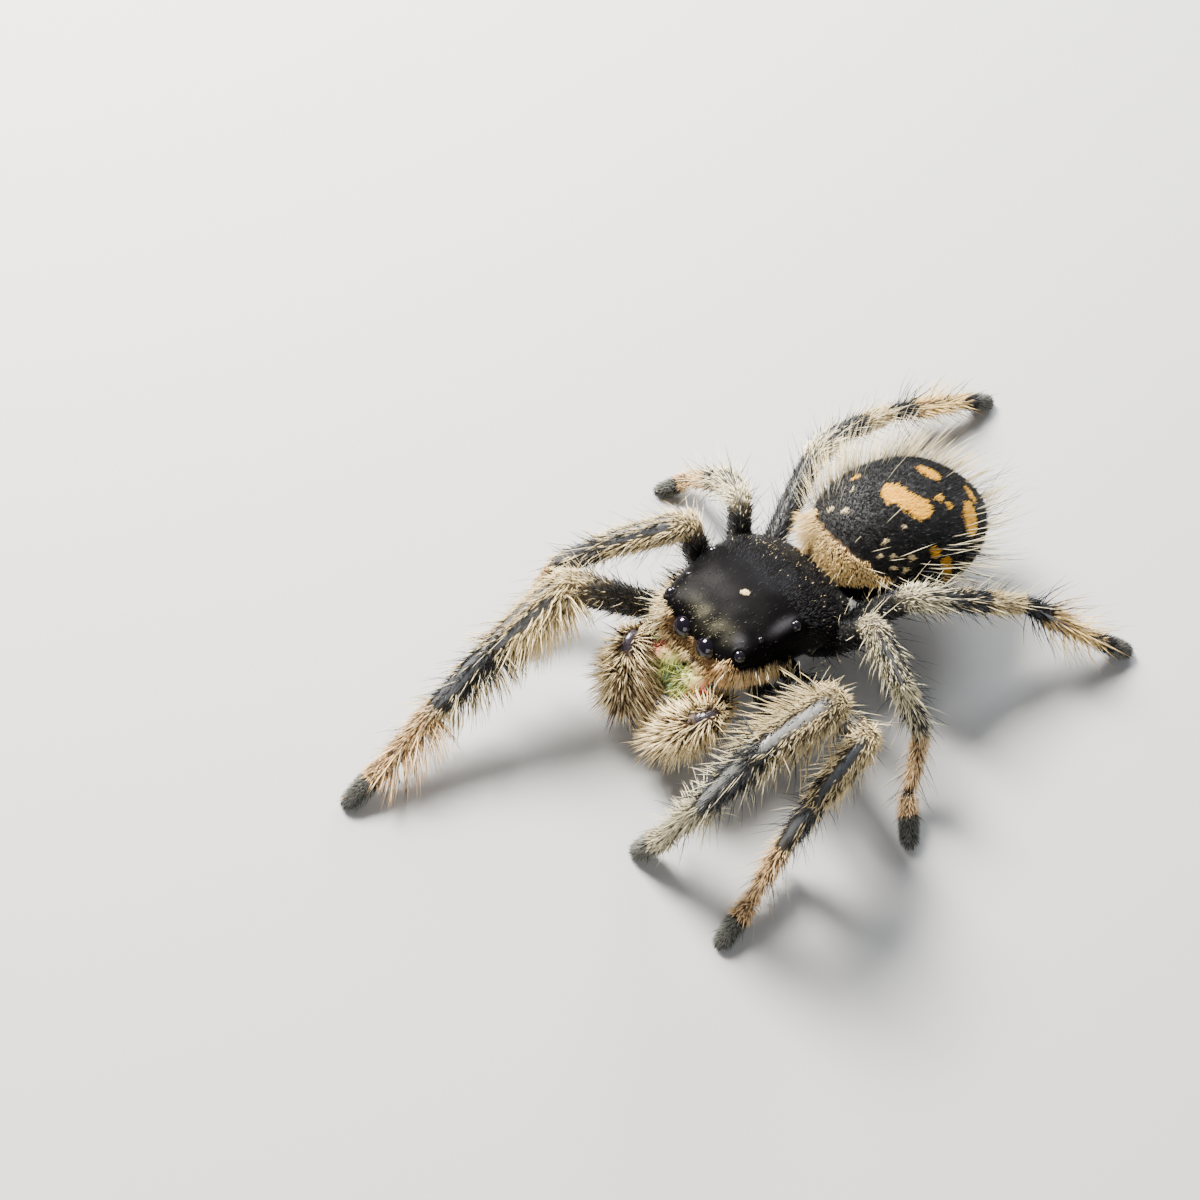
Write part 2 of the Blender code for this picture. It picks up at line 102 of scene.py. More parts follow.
STERNUM_SHARES = (0.72, 0.96, 1.0, 0.86)
STERNUM_HEIGHTS = (1.12, 1.34, 1.66, 1.88)
STERNUM_Y = (-3.05, 2.35)
ABDOMEN_START = np.array((0.14, 1.94, 0.0))
ABDOMEN_YAW = math.radians(11)
ABDOMEN_SECTIONS = (
    (0.16, 1.06, 2.40, 4.30, 2.1),
    (0.62, 1.66, 1.86, 4.88, 2.1),
    (1.30, 2.12, 1.46, 5.24, 2.1),
    (2.20, 2.42, 1.24, 5.42, 2.1),
    (3.30, 2.48, 1.16, 5.44, 2.1),
    (4.35, 2.34, 1.22, 5.18, 2.1),
    (5.30, 1.96, 1.42, 4.66, 2.1),
    (6.04, 1.38, 1.72, 4.02, 2.1),
    (6.50, 0.82, 2.00, 3.44, 2.1),
)
ABDOMEN_ENDS = (0.0, 6.70)
CHELICERA_X = 0.62
CHELICERA_SECTIONS = (
    (2.98, 0.50, -3.98, 0.46),
    (2.60, 0.57, -4.14, 0.60),
    (2.05, 0.57, -4.20, 0.66),
    (1.50, 0.50, -4.14, 0.60),
    (1.10, 0.38, -4.04, 0.44),
)
PALP_ROOT = (1.62, -3.55, 2.05)
PALP_JOINTS = {
    "r": ((-1.72, -4.90, 2.92), (-1.22, -5.55, 2.12), (-0.86, -5.78, 1.12)),
    "l": ((2.02, -4.78, 2.86), (1.55, -5.42, 2.10), (0.86, -5.78, 1.12)),
}

# Colours, in linear light.
CREAM = np.array((0.95, 0.76, 0.42))
PEACH = np.array((1.0, 0.53, 0.04))
BUFF = np.array((0.95, 0.64, 0.32))
WHITE = np.array((0.92, 0.82, 0.54))
TAN = np.array((0.44, 0.25, 0.10))
GREY = np.array((0.085, 0.09, 0.10))
STEEL = np.array((0.15, 0.16, 0.18))
# A pale grey that is painted sheen on the left foreleg's glossy bare stripes.
PAINTED_STRIPE_SHEEN = np.array((0.15, 0.15, 0.14))
BLACK = np.array((0.0035, 0.0032, 0.0035))
BROWN = np.array((0.055, 0.028, 0.014))
PAD = np.array((0.20, 0.20, 0.17))

# How deep a hair's root lies, and the least height of the coat and the skin, in millimetres.
ROOT_DEPTH = 0.03
LEAST_HEIGHT = 0.012
# A hair's flatness, its place on the coat's map, and its rings as shares of its length.
HAIR_FLAT = 0.6
PATCH_LONG = 0.003
PATCH_HALF = 0.0014
SPIKE = (0.0,)
GRAIN = (0.42,)
TWO_RINGS = (0.0, 0.5)
LONG = (0.0, 0.35, 0.7)
# Steps that spread places evenly over a square.
EVEN_STEPS = (0.7548776662, 0.5698402910)
VOXEL = 0.075


def unit(v):
    return v / np.maximum(np.linalg.norm(v, axis=-1, keepdims=True), 1e-9)


def bell(x, width):
    """1 at x = 0, falling smoothly to nothing over a few widths."""
    return np.exp(-((x / width) ** 2))


def turn_gap(v, place):
    """How far each turn v is from a place, the shorter way round."""
    return np.abs(np.mod(v - place + 0.5, 1) - 0.5)


def level_dirs(yaw):
    """Ahead and to the left of something on the floor that is turned by yaw."""
    ahead = np.array((math.sin(yaw), math.cos(yaw), 0))
    return ahead, np.array((math.cos(yaw), -math.sin(yaw), 0))


def roll(points):
    """Points of the front of the body after its lean to the right."""
    points = np.asarray(points, float)
    x, y, z = points[..., 0], points[..., 1], points[..., 2] - ROLL_Z
    c, s = math.cos(BODY_ROLL), math.sin(BODY_ROLL)
    return np.stack((x * c - z * s, y, ROLL_Z + x * s + z * c), -1)


def placed_shift():
    """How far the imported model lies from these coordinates, from where its sternum is."""
    reach = [
        (sign * STERNUM_HALF_WIDTH * share, 0.0, z)
        for z, share in zip(STERNUM_HEIGHTS, STERNUM_SHARES)
        for sign in (-1, 1)
    ]
    rolled = roll(reach)
    low, high = (np.array(corner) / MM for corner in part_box("sternum"))
    middle = (rolled.min(0) + rolled.max(0)) / 2
    middle[1] = sum(STERNUM_Y) / 2
    return (low + high) / 2 - middle


SHIFT = placed_shift()


def leg_joints(leg):
    """Hip, knee and the further joints of a leg, as in the solids."""
    sign = -1 if leg[0] == "r" else 1
    out, femur_reach, rest_reach, directions = LEG_POSES[leg]
    point = np.array((sign * out, HIP_Y[leg[1]], HIP_Z))
    points = [point]
    reaches = (femur_reach,) + (rest_reach,) * 4
    for length, reach, (azimuth, elevation) in zip(LEG_LENGTHS[leg[1]], reaches, directions):
        a, e = math.radians(azimuth), math.radians(elevation)
        step = np.array((math.sin(a) * math.cos(e), -math.cos(a) * math.cos(e), math.sin(e)))
        point = point + step * length * reach
        points.append(point)
    drop = points[-1][2] - FOOT_Z
    return [p - np.array((0, 0, drop * s)) for p, s in zip(points, SETTLE_SHARES)]


class Surface:
    """A closed shape as a function of u along it and v round it, both from 0 to 1."""

    def __init__(self, at):
        self.at = at

    def frames(self, u, v):
        """Place, outward normal, unit direction along, and area for each u and v."""
        step = 1e-3
        low, high = np.clip(u - step, 0.0005, 0.9995), np.clip(u + step, 0.0005, 0.9995)
        along = (self.at(high, v) - self.at(low, v)) / (high - low)[:, None]
        around = (self.at(u, v + step) - self.at(u, v - step)) / (2 * step)
        normal = np.cross(along, around)
        area = np.linalg.norm(normal, axis=1)
        normal = unit(normal)
        middle = self.at(np.full(8, 0.5), np.arange(8) / 8)
        centre, first = middle.mean(0), middle[0]
        u0, v0 = np.array([0.5]), np.array([0.0])
        a = self.at(u0 + step, v0) - self.at(u0 - step, v0)
        b = self.at(u0, v0 + step) - self.at(u0, v0 - step)
        if np.dot(np.cross(a, b)[0], first - centre) < 0:
            normal = -normal
        return self.at(u, v), normal, unit(along), area

    def scatter(self, per_mm2, u_range=(0.003, 0.997)):
        """Even but unordered places on the shape, this many to each square millimetre."""
        grid = 24
        gu, gv = np.meshgrid((np.arange(grid) + 0.5) / grid, (np.arange(grid) + 0.5) / grid)
        gu = u_range[0] + (u_range[1] - u_range[0]) * gu
        area = self.frames(gu.ravel(), gv.ravel())[3]
        most = area.max() * 1.05
        tries = int(per_mm2 * most * (u_range[1] - u_range[0]))
        k = np.arange(tries) + rng.random() * 1000
        u = u_range[0] + (u_range[1] - u_range[0]) * np.mod(0.5 + k * EVEN_STEPS[0], 1)
        v = np.mod(0.5 + k * EVEN_STEPS[1], 1)
        u = np.clip(u + rng.normal(0, 0.004, tries), *u_range)
        v = np.mod(v + rng.normal(0, 0.004, tries), 1)
        places, normals, along, area = self.frames(u, v)
        keep = rng.random(tries) < area / most
        return u[keep], v[keep], places[keep], normals[keep], along[keep]

    def grid(self, rings, sides):
        """Vertices and faces of the whole shape, closed by a point at each end."""
        u = 0.5 - 0.5 * np.cos(np.linspace(0, math.pi, rings + 2)[1:-1])
        v = np.arange(sides) / sides
        uu, vv = np.meshgrid(u, v, indexing="ij")
        uu, vv = uu.ravel(), vv.ravel()
        uu, vv = np.append(uu, (0.0, 1.0)), np.append(vv, (0.0, 0.0))
        pairs = [(i, (i + 1) % sides) for i in range(sides)]
        last, count = (rings - 1) * sides, rings * sides
        faces = [
            (low + i, low + j, low + sides + j, low + sides + i)
            for low in range(0, last, sides)
            for i, j in pairs
        ]
        for i, j in pairs:
            faces.append((j, i, count))
            faces.append((last + i, last + j, count + 1))
        return self.at(uu, vv), faces, uu, vv


def smooth_table(sections, ends, count=400):
    """Sections joined by one smooth curve, closed to a point at each end, as rows by arc length.

    Each row is place, half width, middle height, half height and squareness.
    """
    rows = [(y, half, (low + high) / 2, (high - low) / 2, p) for y, half, low, high, p in sections]
    first, last = np.array(rows[0]), np.array(rows[-1])
    mirror, close = np.array((1, -1, 1, -1, 1)), np.array((0, 0, 1, 0, 1))
    front, back = first * close, last * close
    front[0], back[0] = ends
    knots = np.array([first * mirror, front, *rows, back, last * mirror])
    steps = np.linalg.norm(np.diff(knots[:, :2], axis=0), axis=1)
    place = np.concatenate(([0], np.cumsum(steps)))
    slope = np.zeros_like(knots)
    for k in range(1, len(knots) - 1):
        before, after = steps[k - 1], steps[k]
        rise_a = (knots[k] - knots[k - 1]) / before
        rise_b = (knots[k + 1] - knots[k]) / after
        slope[k] = (rise_a * after + rise_b * before) / (before + after)
    x = np.linspace(place[1], place[-2], count)
    k = np.clip(np.searchsorted(place, x) - 1, 1, len(knots) - 3)
    gap = (place[k + 1] - place[k])[:, None]
    t = ((x - place[k]) / (place[k + 1] - place[k]))[:, None]
    table = (
        knots[k] * (2 * t**3 - 3 * t**2 + 1)
        + slope[k] * gap * (t**3 - 2 * t**2 + t)
        + knots[k + 1] * (-2 * t**3 + 3 * t**2)
        + slope[k + 1] * gap * (t**3 - t**2)
    )
    halves = table[:, [1, 3]].clip(0)
    halves[[0, -1]] = 0
    table[:, [1, 3]] = halves
    return table


def table_at(table, u):
    """The table's columns at shares u of its length."""
    x = np.linspace(0, 1, len(table))
    return [np.interp(u, x, table[:, c]) for c in range(table.shape[1])]


def rounded(v, half_a, half_b, power):
    """Offsets on a rounded square outline at turns v."""
    angle = v * 2 * math.pi
    c, s = np.cos(angle), np.sin(angle)
    return (
        half_a * np.sign(c) * np.abs(c) ** (2 / power),
        half_b * np.sign(s) * np.abs(s) ** (2 / power),
    )


def carapace_surface(inset=0.0):
    table = smooth_table(CARAPACE_SECTIONS, CARAPACE_ENDS)

    def at(u, v):
        y, half, middle, tall, power = table_at(table, u)
        half, tall = np.maximum(half - inset, 0), np.maximum(tall - inset, 0)
        x, z = rounded(v, half, tall, power)
        return roll(np.stack((x, y, middle + z), -1))

    return Surface(at)


def along_own(along, across, z):
    """Points given along and across the abdomen."""
    ahead, aside = level_dirs(ABDOMEN_YAW)
    up = np.array((0, 0, 1.0))
    along, across, z = (np.asarray(x, float)[..., None] for x in (along, across, z))
    return ABDOMEN_START + along * ahead + across * aside + z * up


def abdomen_surface(inset=0.0):
    table = smooth_table(ABDOMEN_SECTIONS, ABDOMEN_ENDS)
    centre = sum(ABDOMEN_ENDS) / 2

    def at(u, v):
        along, half, middle, tall, power = table_at(table, u)
        along = centre + (along - centre) * (1 - inset / centre)
        half, tall = np.maximum(half - inset, 0), np.maximum(tall - inset, 0)
        x, z = rounded(v, half, tall, power)
        return along_own(along, x, middle + z)

    return Surface(at)


def abdomen_own(points):
    """How far along and across the abdomen each point lies."""
    x, y, _ = (points - ABDOMEN_START).T
    c, s = math.cos(ABDOMEN_YAW), math.sin(ABDOMEN_YAW)
    return x * s + y * c, x * c - y * s


def stretch(start, end, halves_start, halves_end, pinch=0.16, cap=0.55):
    """One straight length of a limb with rounded ends and a slight waist at either joint."""
    start, end = np.asarray(start, float), np.asarray(end, float)
    length = np.linalg.norm(end - start)
    axis = (end - start) / length
    side = unit(np.cross(axis, (0, 0, 1.0)))
    up = np.cross(side, axis)
    (a0, b0), (a1, b1) = halves_start, halves_end
    cap_a, cap_b = cap * b0, cap * b1

    def at(u, v):
        along = -cap_a + np.asarray(u, float) * (length + cap_a + cap_b)
        s = np.clip(along / length, 0, 1)
        swell = 1 + 0.10 * np.sin(math.pi * s) - pinch * (bell(s, 0.07) + bell(1 - s, 0.07))
        over_a = np.clip(-along / cap_a, 0, 1)
        over_b = np.clip((along - length) / cap_b, 0, 1)
        close = np.sqrt(np.maximum(1 - over_a**2, 0)) * np.sqrt(np.maximum(1 - over_b**2, 0))
        a = (a0 * (1 - s) + a1 * s) * swell * close
        b = (b0 * (1 - s) + b1 * s) * swell * close
        angle = v * 2 * math.pi
        ring = side * (a * np.cos(angle))[..., None] + up * (b * np.sin(angle))[..., None]
        return start + axis * along[..., None] + ring

    surface = Surface(at)
    surface.length, surface.caps = length, (cap_a, cap_b)
    return surface


def share_of(surface, u):
    """Where along its joint-to-joint length each u of a limb's stretch lies."""
    cap_a, cap_b = surface.caps
    return (-cap_a + u * (surface.length + cap_a + cap_b)) / surface.length


def ramp(x, stops):
    """Values between stops of (place, value)."""
    return np.interp(x, [s[0] for s in stops], [s[1] for s in stops])


# How pale each segment is from its near end to its far end, and which pale colour it has.
LEG_LOOKS = {
    "1": (
        (((0, 0.0), (0.66, 0.02), (0.80, 0.22), (0.92, 0.85), (1, 0.95)), CREAM),
        (((0, 0.95), (0.6, 0.92), (0.84, 0.85), (0.92, 0.20), (1, 0.12)), CREAM),
        (((0, 0.45), (0.10, 0.12), (0.78, 0.10), (0.88, 0.55), (1, 0.92)), CREAM),
        (((0, 0.95), (1, 0.90)), BUFF),
        (((0, 0.98), (0.30, 0.95), (0.38, 0.0), (1, 0.0)), BUFF),
    ),
    "2": (
        (((0, 0.0), (0.80, 0.03), (0.93, 0.7), (1, 0.9)), CREAM),
        (((0, 0.82), (0.7, 0.62), (1, 0.55)), CREAM),
        (((0, 0.30), (0.14, 0.10), (0.82, 0.12), (0.92, 0.8), (1, 0.9)), CREAM),
        (((0, 0.85), (0.8, 0.80), (0.9, 0.55), (1, 0.5)), BUFF),
        (((0, 0.98), (0.30, 0.95), (0.38, 0.0), (1, 0.0)), BUFF),
    ),
    "3": (
        (((0, 0.0), (0.84, 0.03), (0.94, 0.6), (1, 0.9)), WHITE),
        (((0, 0.85), (0.5, 0.60), (0.85, 0.55), (1, 0.80)), WHITE),
        (((0, 0.85), (0.18, 0.75), (0.40, 0.26), (0.80, 0.22), (0.92, 0.8), (1, 0.90)), WHITE),
        (((0, 0.92), (0.74, 0.85), (0.88, 0.12), (1, 0.1)), BUFF),
        (((0, 0.98), (0.34, 0.95), (0.42, 0.0), (1, 0.0)), BUFF),
    ),
    "4": (
        (((0, 0.0), (0.85, 0.03), (0.95, 0.5), (1, 0.8)), WHITE),
        (((0, 0.78), (0.45, 0.58), (0.8, 0.24), (1, 0.12)), WHITE),
        (((0, 0.10), (0.36, 0.04), (0.42, 0.97), (0.84, 0.97), (0.89, 0.03), (1, 0.0)), CREAM),
        (
            ((0, 0.0), (0.20, 0.02), (0.28, 0.97), (0.9, 0.97), (1, 0.6)),
            CREAM * 0.65 + PEACH * 0.35,
        ),
        (((0, 0.30), (0.16, 0.0), (1, 0.0)), BUFF),
    ),
}


# Glossy stripes with little hair along the patella and tibia: the turn of each, and its width.
TWO_STRIPES = (((0.175, 0.042), (0.325, 0.042)), ((0.20, 0.04), (0.31, 0.035)))
ONE_STRIPE = (((0.25, 0.062),), ((0.25, 0.072),))
THIN_STRIPES = (((0.19, 0.028), (0.31, 0.028)), ())
STRIPES = {leg: THIN_STRIPES for leg in LEG_POSES}
STRIPES.update(r1=TWO_STRIPES, r2=TWO_STRIPES, l1=ONE_STRIPE, l2=ONE_STRIPE)


def leg_look(leg, k, s, v):
    """How pale a leg is, its pale colour, and how bare its glossy stripes are.

    s is the share along segment k and v the turn round it.
    """
    stops, colour = LEG_LOOKS[leg[1]][k]
    # Painted shade: from the patella on, the left foreleg's pale colour is painted 40 percent
    # dimmer than the right foreleg's, as shade on the spider's shaded left side.
    if leg == "l1" and k > 0:
        colour = (WHITE if k > 1 else CREAM) * 0.60
    pale = ramp(s, stops)
    bare = np.zeros(len(s))
    if k in (1, 2):
        start = ramp(s, ((0.08, 0), (0.25, 1), (1, 1)))
        for lane, wide in STRIPES[leg][k - 1]:
            bare = np.maximum(bare, np.exp(-(((v - lane) / wide) ** 4)) * start)
    if k == 0:
        pale = pale * (1 - 0.6 * bell(v - 0.75, 0.16))
    # Painted shade: the left foreleg's tibia is painted much darker, for the shadow along its outer
    # side.
    if leg == "l1" and k == 2:
        pale = pale * 0.4
    # Partly painted shade: the third legs' patella and tibia are darker round one side, partly from
    # their own black hair and partly as painted shade on the side turned from the light.
    if leg[1] == "3" and k in (1, 2):
        behind = 0.5 if leg[0] == "l" else 0.0
        pale = pale * (1 - 0.65 * bell(turn_gap(v, behind), 0.17))
    return pale * (1 - 0.9 * bare), colour, bare


def leg_surfaces(leg, inset):
    """A leg's five segments, and its root inside the body."""
    joints = leg_joints(leg)
    sign = -1 if leg[0] == "r" else 1
    halves = LEG_HALF[leg[1]]
    last = len(SEGMENTS) - 1
    ends = [(0.50, 0.54)]
    for near, far in zip(halves, halves[1:]):
        ends.append(tuple(0.93 * min(pair) for pair in zip(near, far)))
    ends.append(tuple(0.85 * half for half in halves[-1]))
    made = []
    for k in range(last + 1):
        depth, pinch = (inset, 0.16) if k < last else (0.03, 0.10)
        near, far = (tuple(h - depth for h in pair) for pair in ends[k : k + 2])
        made.append(stretch(joints[k], joints[k + 1], near, far, pinch))
    coxa = np.array((sign * COXA_X, COXA_Y[leg[1]], COXA_Z))
    hip = tuple(h - inset for h in ends[0])
    return made, stretch(coxa, joints[0], (0.42, 0.42), hip, 0.0)


def palp_surfaces(side, inset=0.26):
    """A palp's upper length, its bend and its tip."""
    sign = -1 if side == "r" else 1
    root = (sign * PALP_ROOT[0], PALP_ROOT[1], PALP_ROOT[2])
    knee, bend, tip = PALP_JOINTS[side]
    broad = (0.72 - inset, 0.72 - inset)
    return [
        stretch(root, knee, (0.26, 0.26), (0.32, 0.32), 0.1),
        stretch(knee, bend, (0.33, 0.33), broad, 0.1),
        stretch(bend, tip, broad, (0.34, 0.34), 0.0),
    ]


# Peach spots and cream dashes on the abdomen: along, across, half length, half width, and turn.
SPOTS = (
    (2.56, -0.22, 0.42, 0.44, 0.2),
    (2.80, 0.28, 0.34, 0.36, 0.3),
    (3.02, 0.66, 0.40, 0.38, 0.3),
    (4.86, 1.32, 0.30, 0.62, 0.55),
    (4.32, -0.56, 0.26, 0.44, -0.35),
    (3.93, 0.53, 0.13, 0.12, 0.0),
    (4.12, 0.88, 0.10, 0.13, 0.0),
    (2.90, 1.97, 0.20, 0.15, 0.4),
    (3.32, 2.30, 0.22, 0.14, 0.4),
    (2.10, -1.60, 0.14, 0.10, 0.0),
    (5.55, 0.45, 0.16, 0.40, 0.0),
)
DASHES = (
    (0.95, -0.58, 0.12, 0.06, 0.3),
    (0.72, -0.98, 0.10, 0.05, 0.3),
    (1.42, 1.04, 0.11, 0.06, 0.4),
    (1.12, 1.30, 0.10, 0.06, 0.4),
    (1.49, 1.50, 0.12, 0.06, 0.5),
    (2.06, 1.81, 0.13, 0.06, 0.5),
    (1.42, 1.76, 0.09, 0.05, 0.5),
    (1.78, 1.97, 0.10, 0.05, 0.5),
    (2.20, 0.98, 0.06, 0.04, 0.0),
    (1.66, -1.18, 0.08, 0.05, 0.0),
)


# The front band's rear edge along the abdomen, and its lower edge, each by place across it.
BAND_EDGE = (
    (-2.2, 1.30), (-1.7, 0.78), (-1.1, 0.46), (-0.4, 0.34),
    (0.3, 0.36), (1.0, 0.58), (1.7, 1.06), (2.25, 1.66),
)
BAND_FOOT = (
    (-1.8, 3.25), (-1.1, 2.85), (-0.4, 2.70), (0.4, 2.82),
    (1.2, 3.38), (2.0, 3.85), (2.3, 4.05),
)
BLACK_HAIR, PEACH_SPOT, CREAM_DASH, FRONT_BAND = range(4)


def in_spots(along, across, spots, ragged):
    """How far inside the nearest spot each place is, from 0 at its edge to 1 at its middle."""
    best = np.full(along.shape, -1.0)
    for a, b, long, wide, angle in spots:
        c, s = math.cos(angle), math.sin(angle)
        x, y = (along - a) * c + (across - b) * s, -(along - a) * s + (across - b) * c
        best = np.maximum(best, 1 - np.sqrt((x / long) ** 2 + (y / wide) ** 2) + ragged)
    return best


def waves(points, scale, seed):
    """Smooth unordered values near -1 to 1 at points, the same each run."""
    wave = np.random.default_rng(seed)
    total = np.zeros(len(points))
    for _ in range(6):
        k = wave.normal(0, scale, 3)
        total += np.sin(points @ k + wave.random() * 6.3)
    return total / 2.5


def abdomen_look(points):
    """Kind of hair at each place of the abdomen."""
    along, across = abdomen_own(points)
    z = points[:, 2]
    ragged = 0.05 * waves(points, 7.0, 3)
    kind = np.full(len(points), BLACK_HAIR)
    above = z > 3.0
    kind[(in_spots(along, across, SPOTS, ragged) > 0) & above] = PEACH_SPOT
    kind[(in_spots(along, across, DASHES, ragged) > 0) & above] = CREAM_DASH
    edge = ramp(across, BAND_EDGE) + 0.05 * waves(points, 6.0, 8)
    kind[(along < edge) & (z > ramp(across, BAND_FOOT))] = FRONT_BAND
    side = (np.abs(along - 4.4 + 0.25 * z) < 0.16) & (z > 1.9) & (z < 3.2) & (across < -1.2)
    kind[side] = PEACH_SPOT
    return kind


# Mesh making.


def linked(name, data):
    """A new object in the scene."""
    obj = bpy.data.objects.new(name, data)
    bpy.context.scene.collection.objects.link(obj)
    return obj


def mesh_object(name, points, faces, tint, gloss=None):
    """One smooth piece from points in millimetres, with a colour and a gloss at each."""
    mesh = bpy.data.meshes.new(name)
    mesh.from_pydata(((np.asarray(points) + SHIFT) * MM).tolist(), [], faces)
    mesh.validate()
    mesh.shade_smooth()
    add_colours(mesh, tint)
    if gloss is not None:
        layer = mesh.attributes.new("gloss", "FLOAT", "POINT")
        layer.data.foreach_set("value", np.asarray(gloss, np.float32))
    return linked(name, mesh)


def add_colours(mesh, tint):
    """The mesh's colours, where a too bright one is dimmed to the brightest of its hue."""
    rgba = np.ones((len(tint), 4), np.float32)
    rgba[:, :3] = np.maximum(tint, 0) / np.maximum(np.max(tint, axis=1, keepdims=True), 1)
    layer = mesh.attributes.new("tint", "FLOAT_COLOR", "POINT")
    layer.data.foreach_set("color", rgba.ravel())


def plain(colour, points):
    """One colour at every point."""
    return np.tile(colour, (len(points), 1))


class Places:
    """Places for hair on a surface: share along, turn, point, normal and direction along.

    More arrays of the same length can be set on it.
    """

    def __init__(self, u, v, p, n, t, **more):
        vars(self).update(u=u, v=v, p=p, n=n, t=t, **more)

    def __len__(self):
        return len(self.u)

    def only(self, mask):
        return Places(**{name: values[mask] for name, values in vars(self).items()})

    def noise(self, amount):
        return rng.normal(0, amount, self.p.shape)

    def lengths(self, low, high):
        return rng.uniform(low, high, len(self))

    def chance(self):
        return rng.random(len(self))


class Coat:
    """Hairs gathered for one piece, each a thin three-sided blade that tapers to a point."""

    def __init__(self, name):
        self.name = name
        self.batches = []
        self.total = 0

    def add(self, at, lies, lengths, widths, tints, tips, chart=(0, 1), bend=0.0, droop=0.0,
            rings=TWO_RINGS):
        """Hairs at places that point along lies, and bend towards droop.

        chart is a chart's number on the coat's map and how many charts lie side by side there.
        """
        places = chart_places(*chart, at.u, at.v)
        points, faces, colours, uv = blades(
            at.p, at.n, lies, lengths, widths, tints, tips, places, bend, droop, rings
        )
        self.batches.append((points, faces + self.total, colours, uv))
        self.total += len(points)

    def finish(self, slot):
        points, faces, colours, uv = (np.vstack(batch) for batch in zip(*self.batches))
        mesh = bpy.data.meshes.new(self.name)
        count = len(faces)
        mesh.vertices.add(len(points))
        mesh.vertices.foreach_set("co", ((points + SHIFT) * MM).astype(np.float32).ravel())
        mesh.loops.add(count * 3)
        mesh.loops.foreach_set("vertex_index", faces.astype(np.int32).ravel())
        mesh.polygons.add(count)
        mesh.polygons.foreach_set("loop_start", np.arange(0, count * 3, 3, dtype=np.int32))
        mesh.update(calc_edges=True)
        mesh.shade_smooth()
        layer = mesh.uv_layers.new(name="OFBake")
        layer.data.foreach_set("uv", uv[faces.ravel()].astype(np.float32).ravel())
        add_colours(mesh, colours)
        finish_piece(linked(self.name, mesh), HAIR, slot)


def blades(roots, normals, lies, lengths, widths, tints, tips, places, bend, droop, rings):
    """Points, triangles, colours and map places of one batch of hairs.

    A hair has three sides and tapers to its tip. Where the first of its rings is not at its root,
    the root is a point too.
    """
    count = len(roots)
    lengths, widths, bend = (np.broadcast_to(x, count)[:, None] for x in (lengths, widths, bend))
    lies = unit(lies)
    across = unit(np.cross(lies, normals))
    over = np.cross(across, lies)
    first = int(rings[0] > 0)
    points, colours, maps = [], [], []
    for share in (0.0,) * first + rings + (1.0,):
        centre = roots + lies * lengths * share + droop * bend * lengths * share**2
        centre = centre - normals * ROOT_DEPTH * (share == 0.0)
        fade = share**0.6
        # Painted shade: each hair's colour runs from its root tint to its tip tint, and the darker
        # roots are painted shade deep in the coat.
        tone = tints * (1 - fade) + tips * fade
        place = places + np.array((0.0, (share - 0.5) * PATCH_LONG))
        if share == 1.0 or (first and share == 0.0):
            points.append(centre)
            colours.append(tone)
            maps.append(place)
            continue
        thick = widths * (1 - 0.75 * share**2) / 2
        for i in range(3):
            angle = math.pi / 2 + i * 2 * math.pi / 3
            offset = across * math.cos(angle) + over * math.sin(angle) * HAIR_FLAT
            points.append(centre + offset * thick)
            colours.append(tone)
            maps.append(place + np.array(((i - 1) * PATCH_HALF, 0.0)))
    per = 3 * len(rings) + 1 + first
    points = np.stack(points, 1).reshape(-1, 3)
    points[:, 2] = np.maximum(points[:, 2], LEAST_HEIGHT)
    colours = np.stack(colours, 1).reshape(-1, 3)
    maps = np.stack(maps, 1).reshape(-1, 2)
    sides = ((0, 1), (1, 2), (2, 0))
    pattern = [(0, 1 + j, 1 + i) for i, j in sides] if first else [(2, 1, 0)]
    for k in range(len(rings) - 1):
        low, high = 3 * k + first, 3 * k + 3 + first
        for i, j in sides:
            pattern.append((low + i, low + j, high + j))
            pattern.append((low + i, high + j, high + i))
    low = 3 * (len(rings) - 1) + first
    pattern += [(low + i, low + j, low + 3) for i, j in sides]
    faces = (np.arange(count)[:, None, None] * per + np.array(pattern)[None]).reshape(-1, 3)
    return points, faces, colours, maps


def chart_places(index, columns, u, v):
    """Places on the coat's map for stretch number index, in a grid of charts."""
    x, y = index % columns, index // columns
    place = np.stack((x + 0.04 + 0.92 * np.mod(v, 1), y + 0.04 + 0.92 * u), -1)
    return place / columns


def tilted(at, degrees, spread=0.12, along=None):
    """Directions that leave the surface at an angle and run along it, each a little astray."""
    angle = np.broadcast_to(np.radians(degrees), len(at))[:, None]
    made = (at.t if along is None else along) * np.cos(angle) + at.n * np.sin(angle)
    return unit(made + rng.normal(0, spread, made.shape))


def vary(colour, count, amount=0.14):
    """One colour with a little light and dark from hair to hair."""
    return colour * (1 + rng.normal(0, amount, count))[:, None].clip(0.5, 1.6)


def pick(pale, colour, dark, count):
    """Pale or dark for each hair by chance, and its colour."""
    chosen = rng.random(count) < pale
    return chosen, np.where(chosen[:, None], vary(colour, count), vary(dark, count, 0.3))


# Materials.


def new_material(name):
    made = bpy.data.materials.new(name)
    made.use_nodes = True
    return made, made.node_tree.nodes, made.node_tree.links, made.node_tree.nodes["Principled BSDF"]


